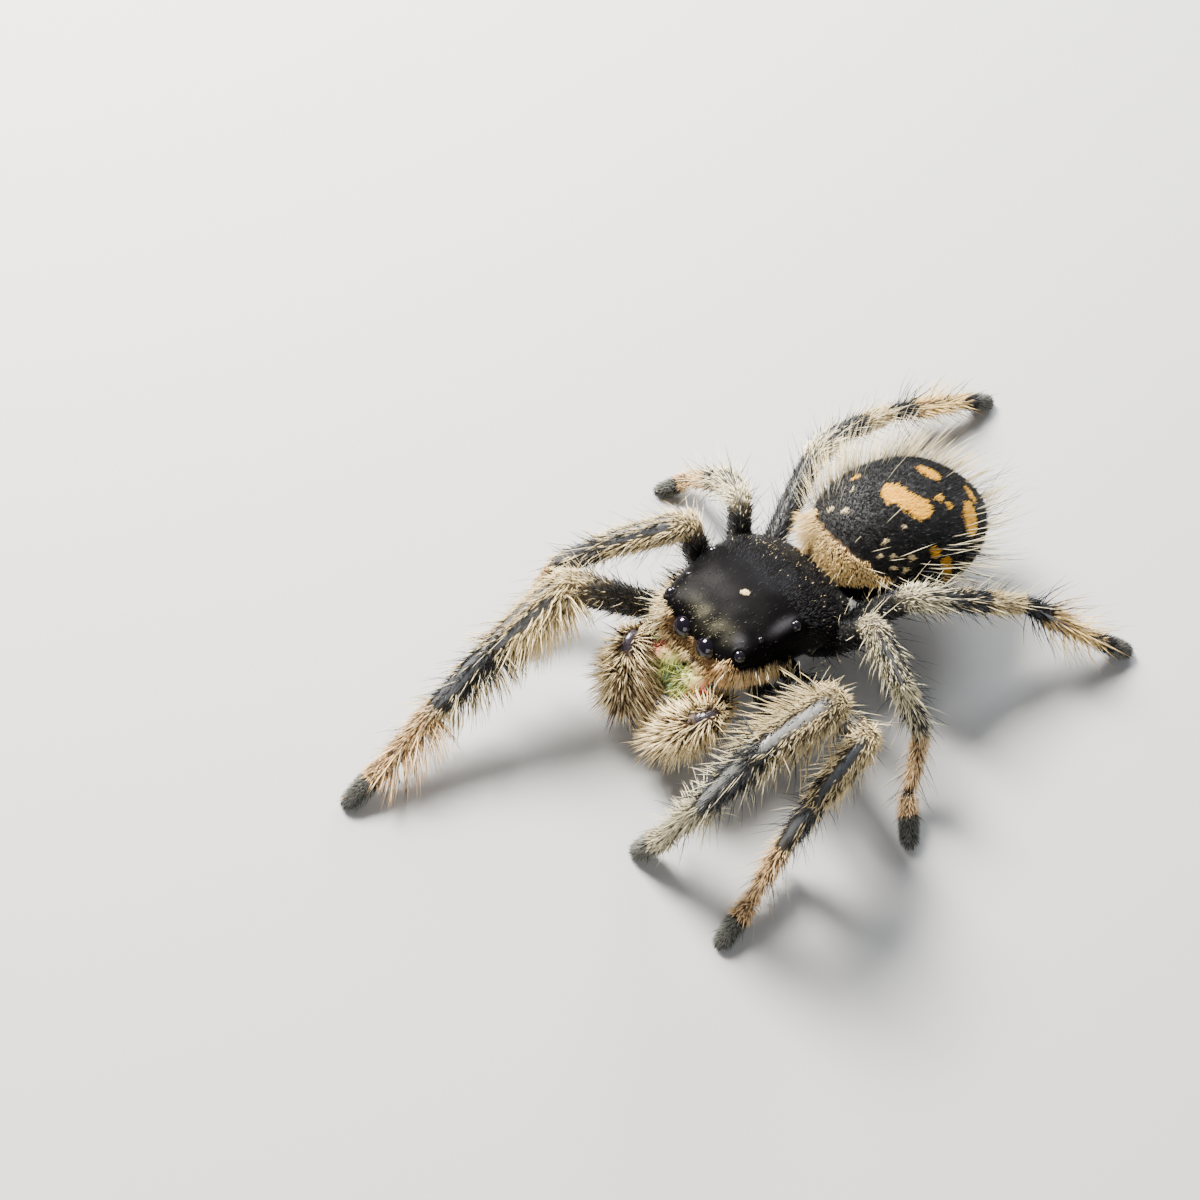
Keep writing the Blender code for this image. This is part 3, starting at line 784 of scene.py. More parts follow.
def tinted_material(name, roughness, grain, grain_scale, bump, coat=0.0, specular=0.5):
    """A surface that takes its colour from the mesh, broken up by fine grain and bumps."""
    made, nodes, links, shader = new_material(name)
    tint = nodes.new("ShaderNodeAttribute")
    tint.attribute_name = "tint"
    place = nodes.new("ShaderNodeTexCoord")
    noise = nodes.new("ShaderNodeTexNoise")
    noise.inputs["Scale"].default_value = grain_scale
    noise.inputs["Detail"].default_value = 3.0
    links.new(place.outputs["Object"], noise.inputs["Vector"])
    spread = nodes.new("ShaderNodeMapRange")
    spread.inputs["To Min"].default_value = 1 - grain
    spread.inputs["To Max"].default_value = 1 + grain
    links.new(noise.outputs["Fac"], spread.inputs["Value"])
    scaled = nodes.new("ShaderNodeVectorMath")
    scaled.operation = "SCALE"
    links.new(tint.outputs["Color"], scaled.inputs[0])
    links.new(spread.outputs["Result"], scaled.inputs["Scale"])
    links.new(scaled.outputs["Vector"], shader.inputs["Base Color"])
    if bump:
        raised = nodes.new("ShaderNodeBump")
        raised.inputs["Strength"].default_value = 0.6
        raised.inputs["Distance"].default_value = bump
        links.new(noise.outputs["Fac"], raised.inputs["Height"])
        links.new(raised.outputs["Normal"], shader.inputs["Normal"])
    shader.inputs["Roughness"].default_value = roughness
    shader.inputs["Coat Weight"].default_value = coat
    shader.inputs["Coat Roughness"].default_value = 0.12
    shader.inputs["Specular IOR Level"].default_value = specular
    return made


def skin_material():
    made = tinted_material("skin", 0.45, 0.35, 14000, 0.00002)
    nodes, links = made.node_tree.nodes, made.node_tree.links
    gloss = nodes.new("ShaderNodeAttribute")
    gloss.attribute_name = "gloss"
    level = nodes.new("ShaderNodeMapRange")
    level.inputs["To Min"].default_value = 0.75
    level.inputs["To Max"].default_value = 0.22
    links.new(gloss.outputs["Fac"], level.inputs["Value"])
    links.new(level.outputs["Result"], nodes["Principled BSDF"].inputs["Roughness"])
    return made


HAIR = tinted_material("hair", 0.55, 0.10, 9000, 0.0, specular=0.18)
SKIN = skin_material()
SHELL = tinted_material("shell", 0.40, 0.35, 11000, 0.00001, specular=0.02)
JAW = tinted_material("jaw", 0.50, 0.25, 16000, 0.00001, specular=0.10)
JAW.node_tree.nodes["Principled BSDF"].inputs["Metallic"].default_value = 0.35
EYE = tinted_material("eye", 0.06, 0.05, 6000, 0.0, coat=0.25, specular=0.35)
CLAW = tinted_material("claw", 0.22, 0.2, 12000, 0.0, coat=0.4)


def finish_piece(obj, surface, slot, *nodes):
    obj.data.materials.append(surface)
    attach(obj, "root")
    if nodes:
        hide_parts(*nodes)


# The skin: every limb, the waist, the spinnerets and the abdomen as one body.

LEG_INSET = 0.15
LEGS = {leg: leg_surfaces(leg, LEG_INSET) for leg in LEG_POSES}
PALPS = {side: palp_surfaces(side) for side in ("r", "l")}
ABDOMEN = abdomen_surface(0.06)
ABDOMEN_COAT = abdomen_surface(0.05)
CARAPACE = carapace_surface(0.02)


def palp_patch(k, s, v):
    """Where a palp is bare and glossy: a patch over its knee and a dot further along."""
    back = np.abs(v - 0.25)
    patch = (k == 0) & (s > 0.88) & (back < 0.10)
    patch = patch | ((k == 1) & (s < 0.30) & (back < 0.085))
    return patch | ((k == 2) & (np.abs(s - 0.30) < 0.12) & (back < 0.05))


def leg_skin_tint(leg, k, u, v, surface):
    """Colour and gloss of the skin of a leg's segment k."""
    s = np.clip(share_of(surface, u), 0, 1)
    pale, colour, bare = leg_look(leg, k, s, v)
    tint = BLACK + (colour * 0.16 + BROWN * 0.4 - BLACK) * pale[:, None]
    # Painted sheen: the left foreleg's bare stripes are painted pale grey for the light on their
    # glossy skin; the other legs' stripes stay dark.
    stripe = PAINTED_STRIPE_SHEEN if leg == "l1" else STEEL * 0.45
    tint = tint * (1 - bare)[:, None] + stripe * bare[:, None]
    gloss = np.maximum(0.45 - 0.3 * pale, 0.9 * bare)
    return tint, gloss


def spinneret_surfaces():
    """Two pairs of silk spigots at the abdomen's end."""
    made = []
    for sign in (-1, 1):
        for root, tip, broad, thin in (
            ((6.25, 0.20, 2.34), (7.02, 0.24, 2.28), (0.22, 0.20), (0.13, 0.12)),
            ((6.20, 0.16, 2.10), (6.82, 0.18, 2.00), (0.18, 0.16), (0.11, 0.10)),
        ):
            ends = (along_own(along, sign * across, z) for along, across, z in (root, tip))
            made.append(stretch(*ends, broad, thin, 0.0))
    return made


def skin_parts():
    """Every shape that the skin is made of, with the colour and gloss at its vertices."""
    parts = []

    def add_plain(surface, rings, sides, colour, gloss):
        points, faces, _, _ = surface.grid(rings, sides)
        parts.append((points, faces, plain(colour, points), np.full(len(points), gloss)))

    for leg, (segments, root) in LEGS.items():
        for k, surface in enumerate(segments):
            points, faces, u, v = surface.grid(34, 24)
            parts.append((points, faces, *leg_skin_tint(leg, k, u, v, surface)))
        add_plain(root, 16, 20, BLACK, 0.6)
    for side in PALPS:
        for k, surface in enumerate(PALPS[side]):
            points, faces, u, v = surface.grid(24, 22)
            patch = palp_patch(k, share_of(surface, u), v)
            tint = np.where(patch[:, None], (0.022, 0.018, 0.024), BROWN * 0.7)
            parts.append((points, faces, tint, np.where(patch, 0.95, 0.5)))
    points, faces, _, _ = ABDOMEN.grid(90, 96)
    kind = abdomen_look(points)
    tint = plain(BLACK, points)
    tint[kind == PEACH_SPOT] = PEACH * 0.75
    tint[kind == CREAM_DASH] = CREAM * 0.6
    tint[kind == FRONT_BAND] = TAN * 0.25
    tint[points[:, 2] < 1.9] = BLACK + GREY * 0.35
    parts.append((points, faces, tint, np.full(len(points), 0.12)))
    for surface in spinneret_surfaces():
        add_plain(surface, 16, 14, GREY * 0.4, 0.3)
    core = stretch((0, -2.9, 2.1), (0, 2.1, 2.1), (1.15, 0.62), (1.0, 0.50), 0.0)
    waist = stretch((0, 1.6, 2.3), (0.12, 3.2, 2.5), (0.40, 0.40), (0.45, 0.45), 0.0)
    for surface in (core, waist):
        add_plain(surface, 24, 24, BLACK, 0.4)
    return parts


def joined(parts):
    """Points and faces of several shapes as one mesh."""
    verts, faces, total = [], [], 0
    for points, part_faces in parts:
        verts.append(points)
        faces.extend([tuple(i + total for i in face) for face in part_faces])
        total += len(points)
    return np.vstack(verts), faces


def make_skin():
    """One closed skin over all those shapes, then coloured from them."""
    parts = skin_parts()
    sources, faces = joined([part[:2] for part in parts])
    mesh = bpy.data.meshes.new("skin_shapes")
    mesh.from_pydata(sources.tolist(), [], faces)
    made = linked("skin_shapes", mesh)
    remesh = made.modifiers.new("one_skin", "REMESH")
    remesh.mode = "VOXEL"
    remesh.voxel_size = VOXEL
    remesh.adaptivity = 0.0
    soften = made.modifiers.new("soften", "SMOOTH")
    soften.factor = 0.5
    soften.iterations = 4
    shaped = made.evaluated_get(bpy.context.evaluated_depsgraph_get()).to_mesh()
    points = np.zeros(len(shaped.vertices) * 3)
    shaped.vertices.foreach_get("co", points)
    points = points.reshape(-1, 3)
    skin_faces = [tuple(p.vertices) for p in shaped.polygons]
    bpy.data.objects.remove(made, do_unlink=True)
    tree = KDTree(len(sources))
    for index, p in enumerate(sources):
        tree.insert(p, index)
    tree.balance()
    nearest = np.array([tree.find(Vector(p))[1] for p in points])
    tints, glosses = (np.concatenate([part[i] for part in parts])[nearest] for i in (2, 3))
    points[:, 2] = np.maximum(points[:, 2], LEAST_HEIGHT)
    return mesh_object("skin", points, skin_faces, tints, glosses)


flesh = ["abdomen", "spinnerets", "waist"]
flesh += [f"leg_{leg}_{segment}" for leg in LEG_POSES for segment in SEGMENTS]
flesh += [f"palp_{side}_{part}" for side in "rl" for part in ("upper", "lower")]
finish_piece(make_skin(), SKIN, "leg", *flesh)


# The eyes, and the shell plates that carry them.

# The lenses of the front middle eyes bulge a little beyond their solids.
LENS_SHIFT = np.array((0.0, 0.04, 0.04))
LENS_SWELL = 1.20


def eye_places():
    """Centre and radius of every eye, from its solid."""
    made = {}
    for pair in ("front_middle", "front_side", "small", "rear"):
        for side in "rl":
            low, high = (np.array(c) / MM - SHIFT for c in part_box(f"eye_{pair}_{side}"))
            centre, radius = (low + high) / 2, float((high - low).max() / 2)
            if pair == "front_middle":
                centre, radius = centre + LENS_SHIFT, radius * LENS_SWELL
            made[f"eye_{pair}_{side}"] = (centre, radius)
    return made


EYES = eye_places()


def make_eye(name, centre, radius):
    def at(u, v):
        rise, turn = math.pi * u, 2 * math.pi * v
        across, up = np.sin(rise) * np.cos(turn), np.sin(rise) * np.sin(turn)
        return centre + radius * np.stack((across, -np.cos(rise), up), -1)

    points, faces, _, _ = Surface(at).grid(30, 40)
    tint = (0.004, 0.003, 0.006) if "front_middle" in name else (0.006, 0.005, 0.008)
    finish_piece(mesh_object(name + "_lens", points, faces, plain(tint, points)), EYE, "eye", name)


for name, (centre, radius) in EYES.items():
    make_eye(name, centre, radius)


def sockets(points):
    """The shell drawn in round the front middle eyes, so that each lies in a shallow socket."""
    made = points.copy()
    for name, (centre, radius) in EYES.items():
        if "front_middle" in name:
            offset = made - centre
            d = np.linalg.norm(offset, axis=1) / radius
            inward = 0.88 * bell(np.maximum(d, 1.0) - 1.0, 0.58)
            made = made - unit(offset) * (inward * radius)[:, None]
    return made


def shell_shape(points, normals):
    """How far the carapace stands out or in: rims and mounds of the eyes, groove and dimples."""
    lift = np.zeros(len(points))
    for name, (centre, radius) in EYES.items():
        if "front_middle" in name:
            continue
        d = np.linalg.norm(points - centre, axis=1)
        lift += 0.05 * bell(d - 1.13 * radius, 0.16 * radius) * (radius / 0.25)
        lift += 0.07 * bell(d, 1.7 * radius) * (radius / 0.25)
    x, y = points[:, 0], points[:, 1]
    top = np.clip((normals[:, 2] - 0.2) / 0.5, 0, 1)
    groove = bell(x, 0.07) * bell(y - 0.15, 0.30)
    saddle = bell(y + 0.25, 0.55) * bell(x, 1.6)
    temples = bell(np.abs(x) - 1.62, 0.35) * bell(y + 1.8, 0.6)
    lift += (0.02 * temples - 0.06 * groove - 0.05 * saddle) * top
    lift += 0.012 * waves(points, 3.0, 5) + 0.016 * waves(points, 1.3, 6)
    return lift


def shell_tint(points):
    """Black shell, with a little grey mottling behind the front eyes, a painted grey sheen over the
    front of the top, a painted sheen line and highlight on the left side, and tan on the face.
    """
    tint = plain((0.0025, 0.0022, 0.0025), points)
    x, y, z = points.T
    mottle = np.clip(0.5 + 0.6 * waves(points, 5.0, 12), 0, 1)
    front = bell(y + 3.15, 0.32) * bell(x, 0.8) * (z > 4.1) * mottle
    # Painted sheen: a grey sheen over the front of the top, a sheen line by the left rear eye and a
    # highlight by the left front side eye.
    grey = bell(y + 2.2, 0.75) * bell(x + 0.2, 1.3) * (z > 4.2) * (0.35 + 0.65 * mottle)
    painted_streak = bell(x - 1.62, 0.15) * bell(y + 1.62, 0.42)
    painted_streak = (painted_streak + 0.6 * bell(x - 1.15, 0.22) * bell(y + 3.0, 0.20)) * (z > 4.2)
    for share, colour in (
        (front, (0.055, 0.052, 0.034)),
        (grey, (0.008, 0.007, 0.0075)),
        (painted_streak, (0.05, 0.048, 0.055)),
    ):
        tint += share[:, None] * np.array(colour)
    tint[(y < -3.0) & (z < 4.0)] = (0.13, 0.075, 0.035)
    return tint


def make_carapace():
    points, faces, u, v = CARAPACE.grid(190, 200)
    _, normals, _, _ = CARAPACE.frames(np.clip(u, 0.002, 0.998), v)
    shaped = sockets(points + normals * shell_shape(points, normals)[:, None])
    made = mesh_object("carapace_shell", shaped, faces, shell_tint(points))
    finish_piece(made, SHELL, "shell", "carapace")


make_carapace()


def make_sternum():
    """The plate under the body, softly domed, with a raised rim."""
    length = (STERNUM_Y[1] - STERNUM_Y[0]) / 2
    middle_y = sum(STERNUM_Y) / 2

    def at(u, v):
        z = 1.14 + (1.86 - 1.14) * u
        bulge = np.sqrt(np.maximum(1 - (2 * u - 1) ** 2, 0)) ** 0.5
        x, y = rounded(v, (STERNUM_HALF_WIDTH - 0.03) * bulge, (length - 0.03) * bulge, 2.4)
        return roll(np.stack((x, middle_y + y, z + 0 * x), -1))

    points, faces, _, _ = Surface(at).grid(40, 90)
    points[:, 2] += 0.01 * waves(points, 6.0, 21)
    tint = plain((0.012, 0.010, 0.010), points)
    finish_piece(mesh_object("sternum_plate", points, faces, tint), SHELL, "shell", "sternum")


make_sternum()


def jaw_surface(sign, inset=0.02):
    """A jaw's outside, rounded off at both ends."""
    rows = np.array(CHELICERA_SECTIONS)
    fine = np.linspace(0, 1, 60)
    place = np.linspace(0, 1, len(rows))
    z, half, y, deep = (np.interp(fine, place, rows[:, c]) for c in range(4))
    kernel = np.ones(9) / 9
    half, y, deep = (
        np.convolve(np.pad(c, 4, mode="edge"), kernel, mode="valid") for c in (half, y, deep)
    )

    def at(u, v):
        close = np.sqrt(np.maximum(1 - np.maximum(0, (np.abs(2 * u - 1) - 0.80) / 0.20) ** 2, 0))
        a = (np.interp(u, fine, half) - inset) * close
        b = (np.interp(u, fine, deep) - inset) * close
        x, dy = rounded(v, a, b, 2.3)
        rise, ahead = np.interp(u, fine, z), np.interp(u, fine, y) + dy
        return roll(np.stack((sign * CHELICERA_X + x, ahead, rise), -1))

    return Surface(at)


def make_jaw(side, sign):
    """A jaw, green with gold above and below, copper at its outer side and brown at its foot."""
    surface = jaw_surface(sign)
    points, faces, u, v = surface.grid(70, 64)
    _, normals, _, _ = surface.frames(np.clip(u, 0.01, 0.99), v)
    outward = normals[:, 0] * sign
    green = np.array((0.26, 0.29, 0.08))
    gold = np.array((0.40, 0.30, 0.12))
    copper = np.array((0.50, 0.15, 0.12))
    height = (points[:, 2] - 1.1) / 1.9
    shift_to = np.clip((outward + 0.10) / 0.70, 0, 1)
    middle = np.clip(1.2 - np.abs(height - 0.62) * 1.6, 0, 1)
    tint = green * middle[:, None] + gold * (1 - middle)[:, None]
    tint = tint * (1 - shift_to)[:, None] + copper * shift_to[:, None]
    low = np.clip((0.30 - height) / 0.25, 0, 1)[:, None]
    tint = tint * (1 - low) + BROWN * low
    ripple = 0.010 * np.sin(points[:, 2] * 42 + 1.5 * waves(points, 4.0, 31))
    shaped = points + normals * ripple[:, None]
    finish_piece(mesh_object(f"jaw_{side}", shaped, faces, tint), JAW, "jaw", f"chelicera_{side}")


def make_fang(side, sign):
    """The fang folded across under a jaw."""
    z, _, y, _ = CHELICERA_SECTIONS[-1]

    def at(u, v):
        radius = 0.15 * np.sqrt(np.minimum(u / 0.06, 1)) * (1 - u) ** 0.7
        x = sign * (CHELICERA_X + 0.72 * (0.22 - u))
        drop = z - 0.04 - 0.12 * np.sin(math.pi * u)
        angle = v * 2 * math.pi
        return roll(
            np.stack((x + 0 * v, y + radius * np.cos(angle), drop + radius * np.sin(angle)), -1)
        )

    points, faces, _, _ = Surface(at).grid(30, 18)
    tint = plain((0.05, 0.012, 0.006), points)
    finish_piece(mesh_object(f"fang_{side}", points, faces, tint), CLAW, "jaw")


for side, sign in (("r", -1), ("l", 1)):
    make_jaw(side, sign)
    make_fang(side, sign)


def claw_surface(start, level, aside):
    def at(u, v):
        radius = 0.034 * (1 - 0.85 * u) * np.sqrt(np.minimum(u / 0.05, 1))
        bend, angle = u * 2.0, v * 2 * math.pi
        rise = -0.20 * (1 - np.cos(bend)) * 0.75 + radius * np.sin(angle)
        reach, out = 0.20 * np.sin(bend), radius * np.cos(angle)
        up = np.array((0, 0, 1.0))
        return start + reach[..., None] * level + out[..., None] * aside + rise[..., None] * up

    return Surface(at)


def make_claws():
    """Two small hooks at the tip of every foot."""
    hooks = []
    for leg in LEG_POSES:
        joints = leg_joints(leg)
        level = unit(unit(joints[5] - joints[4]) * np.array((1, 1, 0)))
        aside = np.cross(level, (0, 0, 1.0))
        for sign in (-1, 1):
            start = joints[5] + level * 0.10 + aside * sign * 0.08 + np.array((0, 0, 0.10))
            hooks.append(claw_surface(start, level, aside).grid(12, 10)[:2])
    points, faces = joined(hooks)
    points[:, 2] = np.maximum(points[:, 2], 0.01)
    tint = plain((0.02, 0.012, 0.010), points)
    finish_piece(mesh_object("claws", points, faces, tint), CLAW, "leg")


make_claws()


# The coat.

DOT_PLACE = np.array((0.04, -1.78, 4.90))
DOT_RADIUS = 0.115
DOT_HAIRS = 90
# Hairs to each square millimetre on every segment of a leg.
SHORT_HAIR = (90, 150, 150, 150, 190)
STRAY_HAIR = (10, 16, 15, 18, 6)
BRISTLES = (3.0, 8.0, 10.0, 11.0, 0.0)
PAD_HAIR = 620
# The forelegs' fringe by segment: hairs, turn, width, end, length and how dark its roots are
# painted, as shade deep in the fringe.
FRINGE = {
    1: (120, 0.63, 0.17, 0.88, 1.25, 0.22),
    2: (90, 0.60, 0.13, 0.97, 1.20, 0.08),
    3: (135, 0.57, 0.13, 0.97, 1.45, 0.22),
}


def leg_hair(surface, leg, k, per_mm2, reach=(0.0, 1.0)):
    """Places for hair on segment k of a leg, off its bare stripes, with how pale each is."""
    h = Places(*surface.scatter(per_mm2))
    h.s = share_of(surface, h.u)
    pale, colour, bare = leg_look(leg, k, np.clip(h.s, 0, 1), h.v)
    clump = waves(h.p, 5.0, 50 + k)
    h.pale = np.clip(pale + 0.9 * pale * (1 - pale) * clump, 0, 1)
    keep = (h.s > reach[0]) & (h.s < reach[1]) & (h.chance() > 0.95 * bare)
    return h.only(keep), colour


def add_short_hair(coat, surface, leg, k, foot, fanned):
    """Short hair all over a segment: broad pale grains and thin black hair."""
    rear_leg, hind_leg = leg[1] in "34", leg[1] == "4"
    reach = (0.10 if k == 0 else -0.12, 9.0 if foot else 1.12)
    h, colour = leg_hair(surface, leg, k, SHORT_HAIR[k] * (1.45 if rear_leg else 1.0), reach)
    chosen, tints = pick(h.pale, colour, BLACK + GREY * 0.15, len(h))
    # Painted sheen: a fifth of the black hairs on the upward side are painted blue-grey, for the
    # light caught on top of the leg.
    top_sheen = (~chosen) & (h.chance() < 0.20) & (h.n[:, 2] > 0.0)
    tints[top_sheen] = vary(STEEL, top_sheen.sum(), 0.3)
    size = h.lengths(0.7, 1.3) * (0.6 if foot else 0.74 if rear_leg else 1.0)
    thin = 0.78 if rear_leg else 1.0
    if fanned:
        size, thin = size * 1.35, 1.0
    lie = tilted(h, 40 if foot or fanned else 24, 0.14)
    for group, length, width, near, far, rings in (
        (chosen, 0.40, 0.060 * thin, 0.40 if hind_leg else 0.10, 1.15, GRAIN),
        (~chosen, 0.34, 0.040, 0.7, 1.2, SPIKE),
    ):
        coat.add(h.only(group), lie[group], length * size[group], width, tints[group] * near,
                 tints[group] * far, (k, 3), rings=rings)


def add_stray_hair(coat, surface, leg, k, foot, fanned):
    """Longer hair that breaks the outline."""
    h, colour = leg_hair(surface, leg, k, 34 if fanned else STRAY_HAIR[k])
    h = h.only(h.p[:, 2] > 0.25)
    stray = 0.02 if leg[1] == "4" or k == 0 else 0.12
    pale = np.clip(h.pale * 0.9 + stray, 0, 1)
    _, tints = pick(pale, colour, BLACK + GREY * 0.3, len(h))
    lengths = h.lengths(0.45, 0.90) * (0.6 if foot else 1.9 if fanned else 1.0)
    lengths = np.minimum(lengths, np.maximum(0.2, h.p[:, 2] * 1.1))
    lie = tilted(h, 62 if fanned else 44, 0.16)
    wide, near = (0.048, 0.6) if fanned else (0.036, 0.3)
    coat.add(h, lie, lengths, wide, tints * near, tints * 1.2, (k, 3), 0.25, h.t)


def add_fringe(coat, surface, leg, k):
    """The fringe inside a foreleg, and a bunch at the outer side of the segment's far end."""
    per_mm2, turn, wide, end, long, near = FRINGE[k]
    sign = 1 if leg[0] == "r" else -1
    turn = turn if sign > 0 else 1.5 - turn
    h = Places(*surface.scatter(per_mm2))
    h.s = share_of(surface, h.u)
    h = h.only((h.chance() < bell(h.v - turn, wide)) & (h.s > -0.02) & (h.s < end))
    share = np.clip(h.s, 0, 1)
    pale, colour, _ = leg_look(leg, k, share, h.v)
    # Painted shade: the fringe under the left foreleg's tibia may be mostly dark, as on its shaded
    # side.
    least = 0.22 if leg == "l1" and k == 2 else 0.76
    _, tints = pick(np.maximum(pale, least), colour, GREY * 0.4, len(h))
    lengths = np.minimum(long * h.lengths(0.5, 1.15), np.maximum(0.35, h.p[:, 2] * 1.5))
    lie = tilted(h, 80 - 28 * share)
    coat.add(h, lie, lengths, 0.062, tints * near, tints * 1.3, (k, 3), 0.25, h.t, LONG)
    if k < 3:
        h = Places(*surface.scatter(60, (0.84, 0.96)))
        h = h.only(turn_gap(h.v, np.mod(turn + 0.36 * sign, 1)) < 0.09)
        tints = vary(colour, len(h), 0.15)
        lie = tilted(h, 66, 0.10)
        coat.add(h, lie, h.lengths(0.6, 1.25), 0.045, tints * 0.2, tints * 1.15, (k, 3), 0.15,
                 h.t, LONG)


def add_bristles(coat, surface, leg, k):
    """Long thin bristles, sparse and half of them black."""
    h, _ = leg_hair(surface, leg, k, BRISTLES[k], (0.1, 0.95))
    h = h.only(h.p[:, 2] > 0.35)
    _, tints = pick(0.45, WHITE, BLACK, len(h))
    lie = tilted(h, 52, 0.16)
    coat.add(h, lie, h.lengths(0.65, 1.25), 0.027, tints * 0.6, tints, (k, 3), 0.18, h.t, LONG)


def coat_leg(leg):
    """Hair on every segment of a leg, and the dense pad round its foot's tip."""
    coat = Coat(f"hair_leg_{leg}")
    segments, _ = LEGS[leg]
    for k, surface in enumerate(segments):
        foot, fanned = k == 4, leg[1] == "4" and k == 3
        add_short_hair(coat, surface, leg, k, foot, fanned)
        add_stray_hair(coat, surface, leg, k, foot, fanned)
        if leg[1] == "1" and k in FRINGE:
            add_fringe(coat, surface, leg, k)
        add_bristles(coat, surface, leg, k)
    h = Places(*segments[4].scatter(PAD_HAIR, (0.42, 0.995)))
    tints = vary(PAD, len(h), 0.25)
    lie = tilted(h, 56)
    coat.add(h, lie, h.lengths(0.13, 0.21), 0.034, tints * 0.7, tints * 1.3, (5, 3), rings=SPIKE)
    coat.finish("leg")


def coat_palp(side):
    """Stiff pale hair that stands out all round the palp."""
    coat = Coat(f"hair_palp_{side}")
    sign = -1 if side == "r" else 1
    for k, surface in enumerate(PALPS[side]):
        h = Places(*surface.scatter((130, 145, 150)[k]))
        s = share_of(surface, h.u)
        h = h.only(~palp_patch(k, s, h.v) & (s < (1.05 if k == 0 else 9)))
        tints = vary(CREAM, len(h), 0.16)
        tints[h.chance() < 0.14] = BROWN * 1.5
        lengths = (0.50, 0.84, 0.92)[k] * h.lengths(0.5, 1.2)
        lengths *= 0.55 + 0.45 * np.clip(np.abs(h.v - 0.25) / 0.18, 0, 1)
        inner = (h.n[:, 0] * sign < -0.3) & (h.n[:, 2] > -0.3)
        long = inner & (side == "r") & (k > 0)
        lengths[long] *= 1.45
        tints[long & (h.chance() < 0.45)] = BROWN * 2.2
        lengths = np.minimum(lengths, np.maximum(0.3, (h.p[:, 2] - 0.05) * 1.1))
        lie = tilted(h, (46, 66, 64)[k], 0.13)
        coat.add(h, lie, lengths, 0.060, tints * 0.12, tints * 1.2, (k, 2), 0.10, h.t, (0.0, 0.45))
    if side == "r":
        add_long_palp_hair(coat, side)
    coat.finish("palp")


def add_long_palp_hair(coat, side):
    """Long straight hair from the inner side, across the jaws towards the other palp."""
    for k, surface in enumerate(PALPS[side]):
        h = Places(*surface.scatter((0, 26, 20)[k]))
        h = h.only((h.n[:, 0] > 0.1) & (h.n[:, 2] > -0.35))
        _, tints = pick(0.6, CREAM, BROWN * 1.6, len(h))
        lie = unit(np.array((0.93, 0.02, -0.33)) + h.n * 0.15 + h.noise(0.09))
        lengths = np.minimum(h.lengths(1.1, 1.9), np.maximum(0.4, (h.p[:, 2] - 0.2) * 2.2))
        coat.add(h, lie, lengths, 0.052, tints * 0.3, tints * 1.2, (3, 2), 0.08,
                 np.array((0, 0, -1.0)), LONG)


def coat_abdomen():
    """Short velvet over the whole abdomen, with the spots and dashes in flat pale scales."""
    coat = Coat("hair_abdomen")
    h = Places(*ABDOMEN_COAT.scatter(540))
    h.kind = abdomen_look(h.p)
    kept = (h.kind == BLACK_HAIR) | (h.chance() < 0.85)
    h = h.only(kept & (h.kind != FRONT_BAND))
    black = h.kind == BLACK_HAIR
    tints = vary(BLACK * 0.7, len(h), 0.5)
    sheen = black & (h.chance() < 0.05 + 0.06 * waves(h.p, 3.0, 23))
    tints[sheen] = vary(GREY * 0.8, sheen.sum(), 0.5)
    for kind, colour in ((PEACH_SPOT, PEACH), (CREAM_DASH, CREAM)):
        chosen = h.kind == kind
        tints[chosen] = vary(colour, chosen.sum(), 0.10)
    lengths = np.where(black, 0.17, 0.15) * h.lengths(0.7, 1.3)
    lie = tilted(h, np.where(black, 28, 20), np.where(black, 0.24, 0.10)[:, None])
    roots = np.where(black[:, None], tints * 0.8, tints * 0.6)
    coat.add(h, lie, lengths, np.where(black, 0.030, 0.062), roots, tints * 1.12, rings=SPIKE)
    coat.finish("abdomen")


def coat_band():
    """The dense brush of pale hair over the abdomen's front, combed outwards to both sides."""
    coat = Coat("hair_band")
    h = Places(*ABDOMEN_COAT.scatter(560, (0.0005, 0.42)))
    h = h.only(abdomen_look(h.p) == FRONT_BAND)
    h.tints = vary(CREAM * 0.7 + PEACH * 0.3, len(h), 0.12)
    _, across = abdomen_own(h.p)
    _, aside = level_dirs(ABDOMEN_YAW)
    comb = aside * np.tanh((across + 0.7) * 1.2)[:, None] - h.t * 0.35 + np.array((0, -0.15, 0))
    h.comb = unit(comb - h.n * np.sum(comb * h.n, axis=1)[:, None])
    lie = tilted(h, 50 + 12 * h.chance(), 0.22, h.comb)
    low = np.clip(1.7 - across, 0.55, 1)
    # Painted shade: the band's hair is painted darker towards its right end.
    right_end_shade = np.clip(0.4 - across, 0, 1)[:, None]
    coat.add(h, lie, h.lengths(0.17, 0.27) * low, 0.050, h.tints * (0.30 - 0.14 * right_end_shade),
             h.tints * (1.7 - 0.75 * right_end_shade), rings=(0.50,))
    # A fringe of longer, curled hair along its front and its right end.
    h = h.only(h.chance() < 0.012 + 0.30 * (across < -0.75))
    lie = unit(h.n * 0.9 - h.t * 0.4 + h.comb * 0.5 + h.noise(0.16))
    coat.add(h, lie, h.lengths(0.40, 0.80), 0.036, h.tints * 0.25, h.tints, bend=0.35,
             droop=np.array((0.0, -0.4, -0.6)), rings=LONG)
    coat.finish("abdomen")


